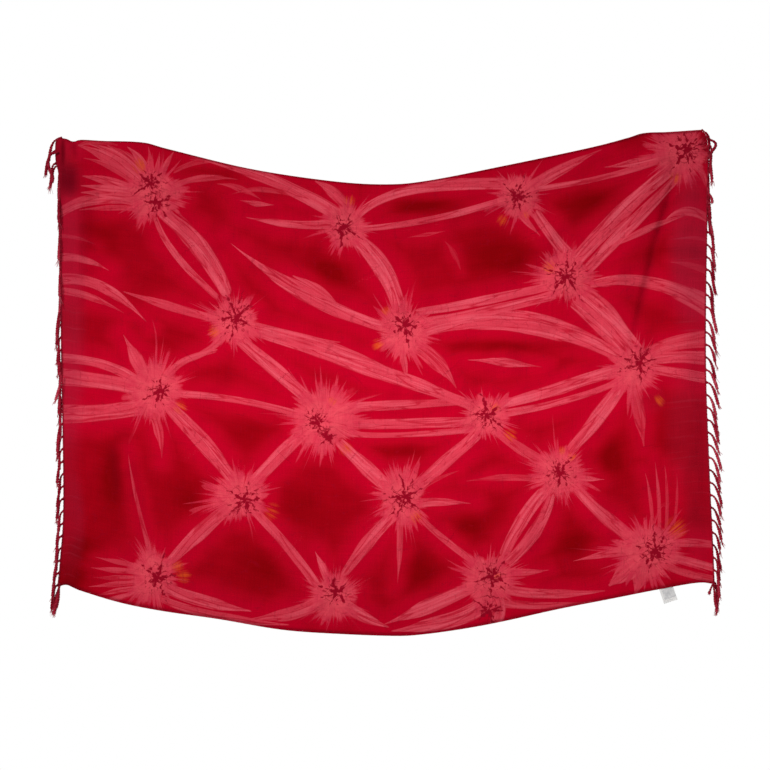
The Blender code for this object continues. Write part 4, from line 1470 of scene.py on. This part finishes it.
def spun_yarn():
    """Soft two-ply yarn twisted from the cloth's own threads: dark crimson in its folds, and
    dusty pink where it has frayed."""
    made, add = new_finish("spun_yarn", Roughness=0.9, Specular_IOR_Level=0.06)
    tone = add("Attribute", attribute_name="tone").outputs["Fac"]
    where = add("TexCoord").outputs["Object"]
    patches = add("TexNoise", where, Scale=90.0, Detail=3.0)
    fibres = add("TexNoise", where, Scale=900.0, Detail=2.0)
    tone = add("Math multiply add", patches, 0.9, tone)
    tone = add("Math multiply add", fibres, 0.3, tone)
    ramp = add("ValToRGB", add("MapRange", tone, 0.35, 1.4))
    set_tones(ramp, (0.0, "#70091a"), (0.4, "#a3182f"), (0.75, "#bd3349"), (1.0, "#d1606f"))
    bump = add("Bump", Height=fibres, Strength=0.5, Distance=0.0003)
    return finished(made, ramp.outputs["Color"], Normal=bump)


def white_satin():
    """Woven polyester satin ribbon: a soft gloss in streaks, brighter at its border and fold."""
    made, add = new_finish("white_satin", Roughness=0.42, Specular_IOR_Level=0.3)
    bright = add("Attribute", attribute_name="bright").outputs["Fac"]
    where = add("TexCoord").outputs["Object"]
    weft = streaked(add, where, (60.0, 60.0, 900.0), Detail=2.0)
    sheen = add("TexNoise", where, Scale=110.0, Detail=3.0)
    level = add("Math multiply add", sheen, 1.5, bright)
    level = add("MapRange", level, 0.2, 1.2)
    colour = add("Mix", level, linear("#bcbcc0"), linear("#fbfaf8"), at=COLOUR_MIX, data_type="RGBA")
    rough = add("MapRange", weft, 0.3, 0.7, 0.34, 0.55)
    bump = add("Bump", Height=weft, Strength=0.4, Distance=0.0002)
    return finished(made, colour.outputs[2], Roughness=rough, Normal=bump)


def sewing_thread(name, dark, pale):
    """Polyester sewing thread, twisted: a little gloss, with a painted highlight on a turn every half
    millimetre and painted shade between.
    """
    made, add = new_finish(name, Roughness=0.6, Specular_IOR_Level=0.2)
    where = add("TexCoord").outputs["Object"]
    # The twist's turns: the pale tone is a painted highlight, the dark tone painted shade
    turns = add("TexWave", where, Scale=320.0, Distortion=2.0, bands_direction="DIAGONAL")
    colour = add("Mix", turns, linear(dark), linear(pale), at=COLOUR_MIX, data_type="RGBA")
    bump = add("Bump", Height=turns, Strength=0.3, Distance=0.0001)
    return finished(made, colour.outputs[2], Normal=bump)


def painted_floor():
    """A matt, pale painted floor, with the faint unevenness of a roller."""
    made, add = new_finish("painted_floor", Roughness=0.8, Specular_IOR_Level=0.2)
    where = add("TexCoord").outputs["Object"]
    coat = add("TexNoise", where, Scale=3.0, Detail=5.0)
    colour = add("Mix", coat, linear("#e6e5e2"), linear("#efeeec"), at=COLOUR_MIX, data_type="RGBA")
    return finished(made, colour.outputs[2])


def make_room():
    """The floor, the even light of a white studio, its lamps and the camera."""
    scene = bpy.context.scene
    turn = np.linspace(0, 2 * math.pi, FLOOR_CORNERS, endpoint=False)
    ring = np.column_stack([
        CAMERA_PLACE[0] + FLOOR_RADIUS * np.cos(turn),
        FLOOR_RADIUS * np.sin(turn),
        np.full(FLOOR_CORNERS, FLOOR_HEIGHT),
    ])
    mesh = bpy.data.meshes.new("floor")
    mesh.from_pydata(ring.tolist(), [], [list(range(FLOOR_CORNERS))])
    mesh.materials.append(painted_floor())
    floor = bpy.data.objects.new("floor", mesh)
    scene.collection.objects.link(floor)

    world = bpy.data.worlds.new("studio")
    scene.world = world
    world.use_nodes = True
    tree = world.node_tree
    add = functools.partial(add_node, tree)
    seen = add("LightPath").outputs["Is Camera Ray"]
    level = add("MapRange", seen, 0.0, 1.0, ROOM_LIGHT, 1.0)
    background = tree.nodes["Background"]
    background.inputs["Color"].default_value = (1.0, 1.0, 1.0, 1)
    tree.links.new(level.outputs[0], background.inputs["Strength"])

    aim = bpy.data.objects.new("lights_aim", None)
    aim.location = LIGHTS_AIM
    scene.collection.objects.link(aim)
    lamps = []
    for name, place, size, watts in LIGHTS:
        data = bpy.data.lights.new(name, "AREA")
        data.size, data.energy = size, watts
        lamps.append((bpy.data.objects.new(name, data), place))
    data = bpy.data.lights.new("soft_spot", "SPOT")
    data.spot_size, data.spot_blend, data.shadow_soft_size = SPOT_ANGLE, 1.0, SPOT_SIZE
    data.energy = SPOT_WATTS
    spot = bpy.data.objects.new("soft_spot", data)
    spot.scale = (SPOT_WIDER, 1, 1)
    lamps.append((spot, SPOT_PLACE))
    for lamp, place in lamps:
        lamp.location = place
        scene.collection.objects.link(lamp)
        toward = lamp.constraints.new("TRACK_TO")
        toward.target, toward.track_axis, toward.up_axis = aim, "TRACK_NEGATIVE_Z", "UP_Y"

    data = bpy.data.cameras.new("camera")
    data.lens, data.sensor_width = CAMERA_LENS, CAMERA_SENSOR
    camera = bpy.data.objects.new("camera", data)
    camera.location = CAMERA_PLACE
    camera.rotation_euler = (math.pi / 2, 0, 0)
    scene.collection.objects.link(camera)
    scene.camera = camera
    scene.view_settings.view_transform = "Standard"


make_room()
yarn = spun_yarn()
cloth = make_cloth(resist_dyed_rayon())
left_fringe = make_fringe("left_fringe", "fringe_left", 0.0, -1, LEFT_HANG, 3, yarn)
right_fringe = make_fringe("right_fringe", "fringe_right", 1.0, 1, RIGHT_HANG, 7, yarn)
hem_stitching = make_hem_stitching(sewing_thread("crimson_thread", "#6e0412", "#a3162b"))
label, label_stitching = make_label(white_satin(), sewing_thread("white_thread", "#d9d8d4", "#f7f6f3"))
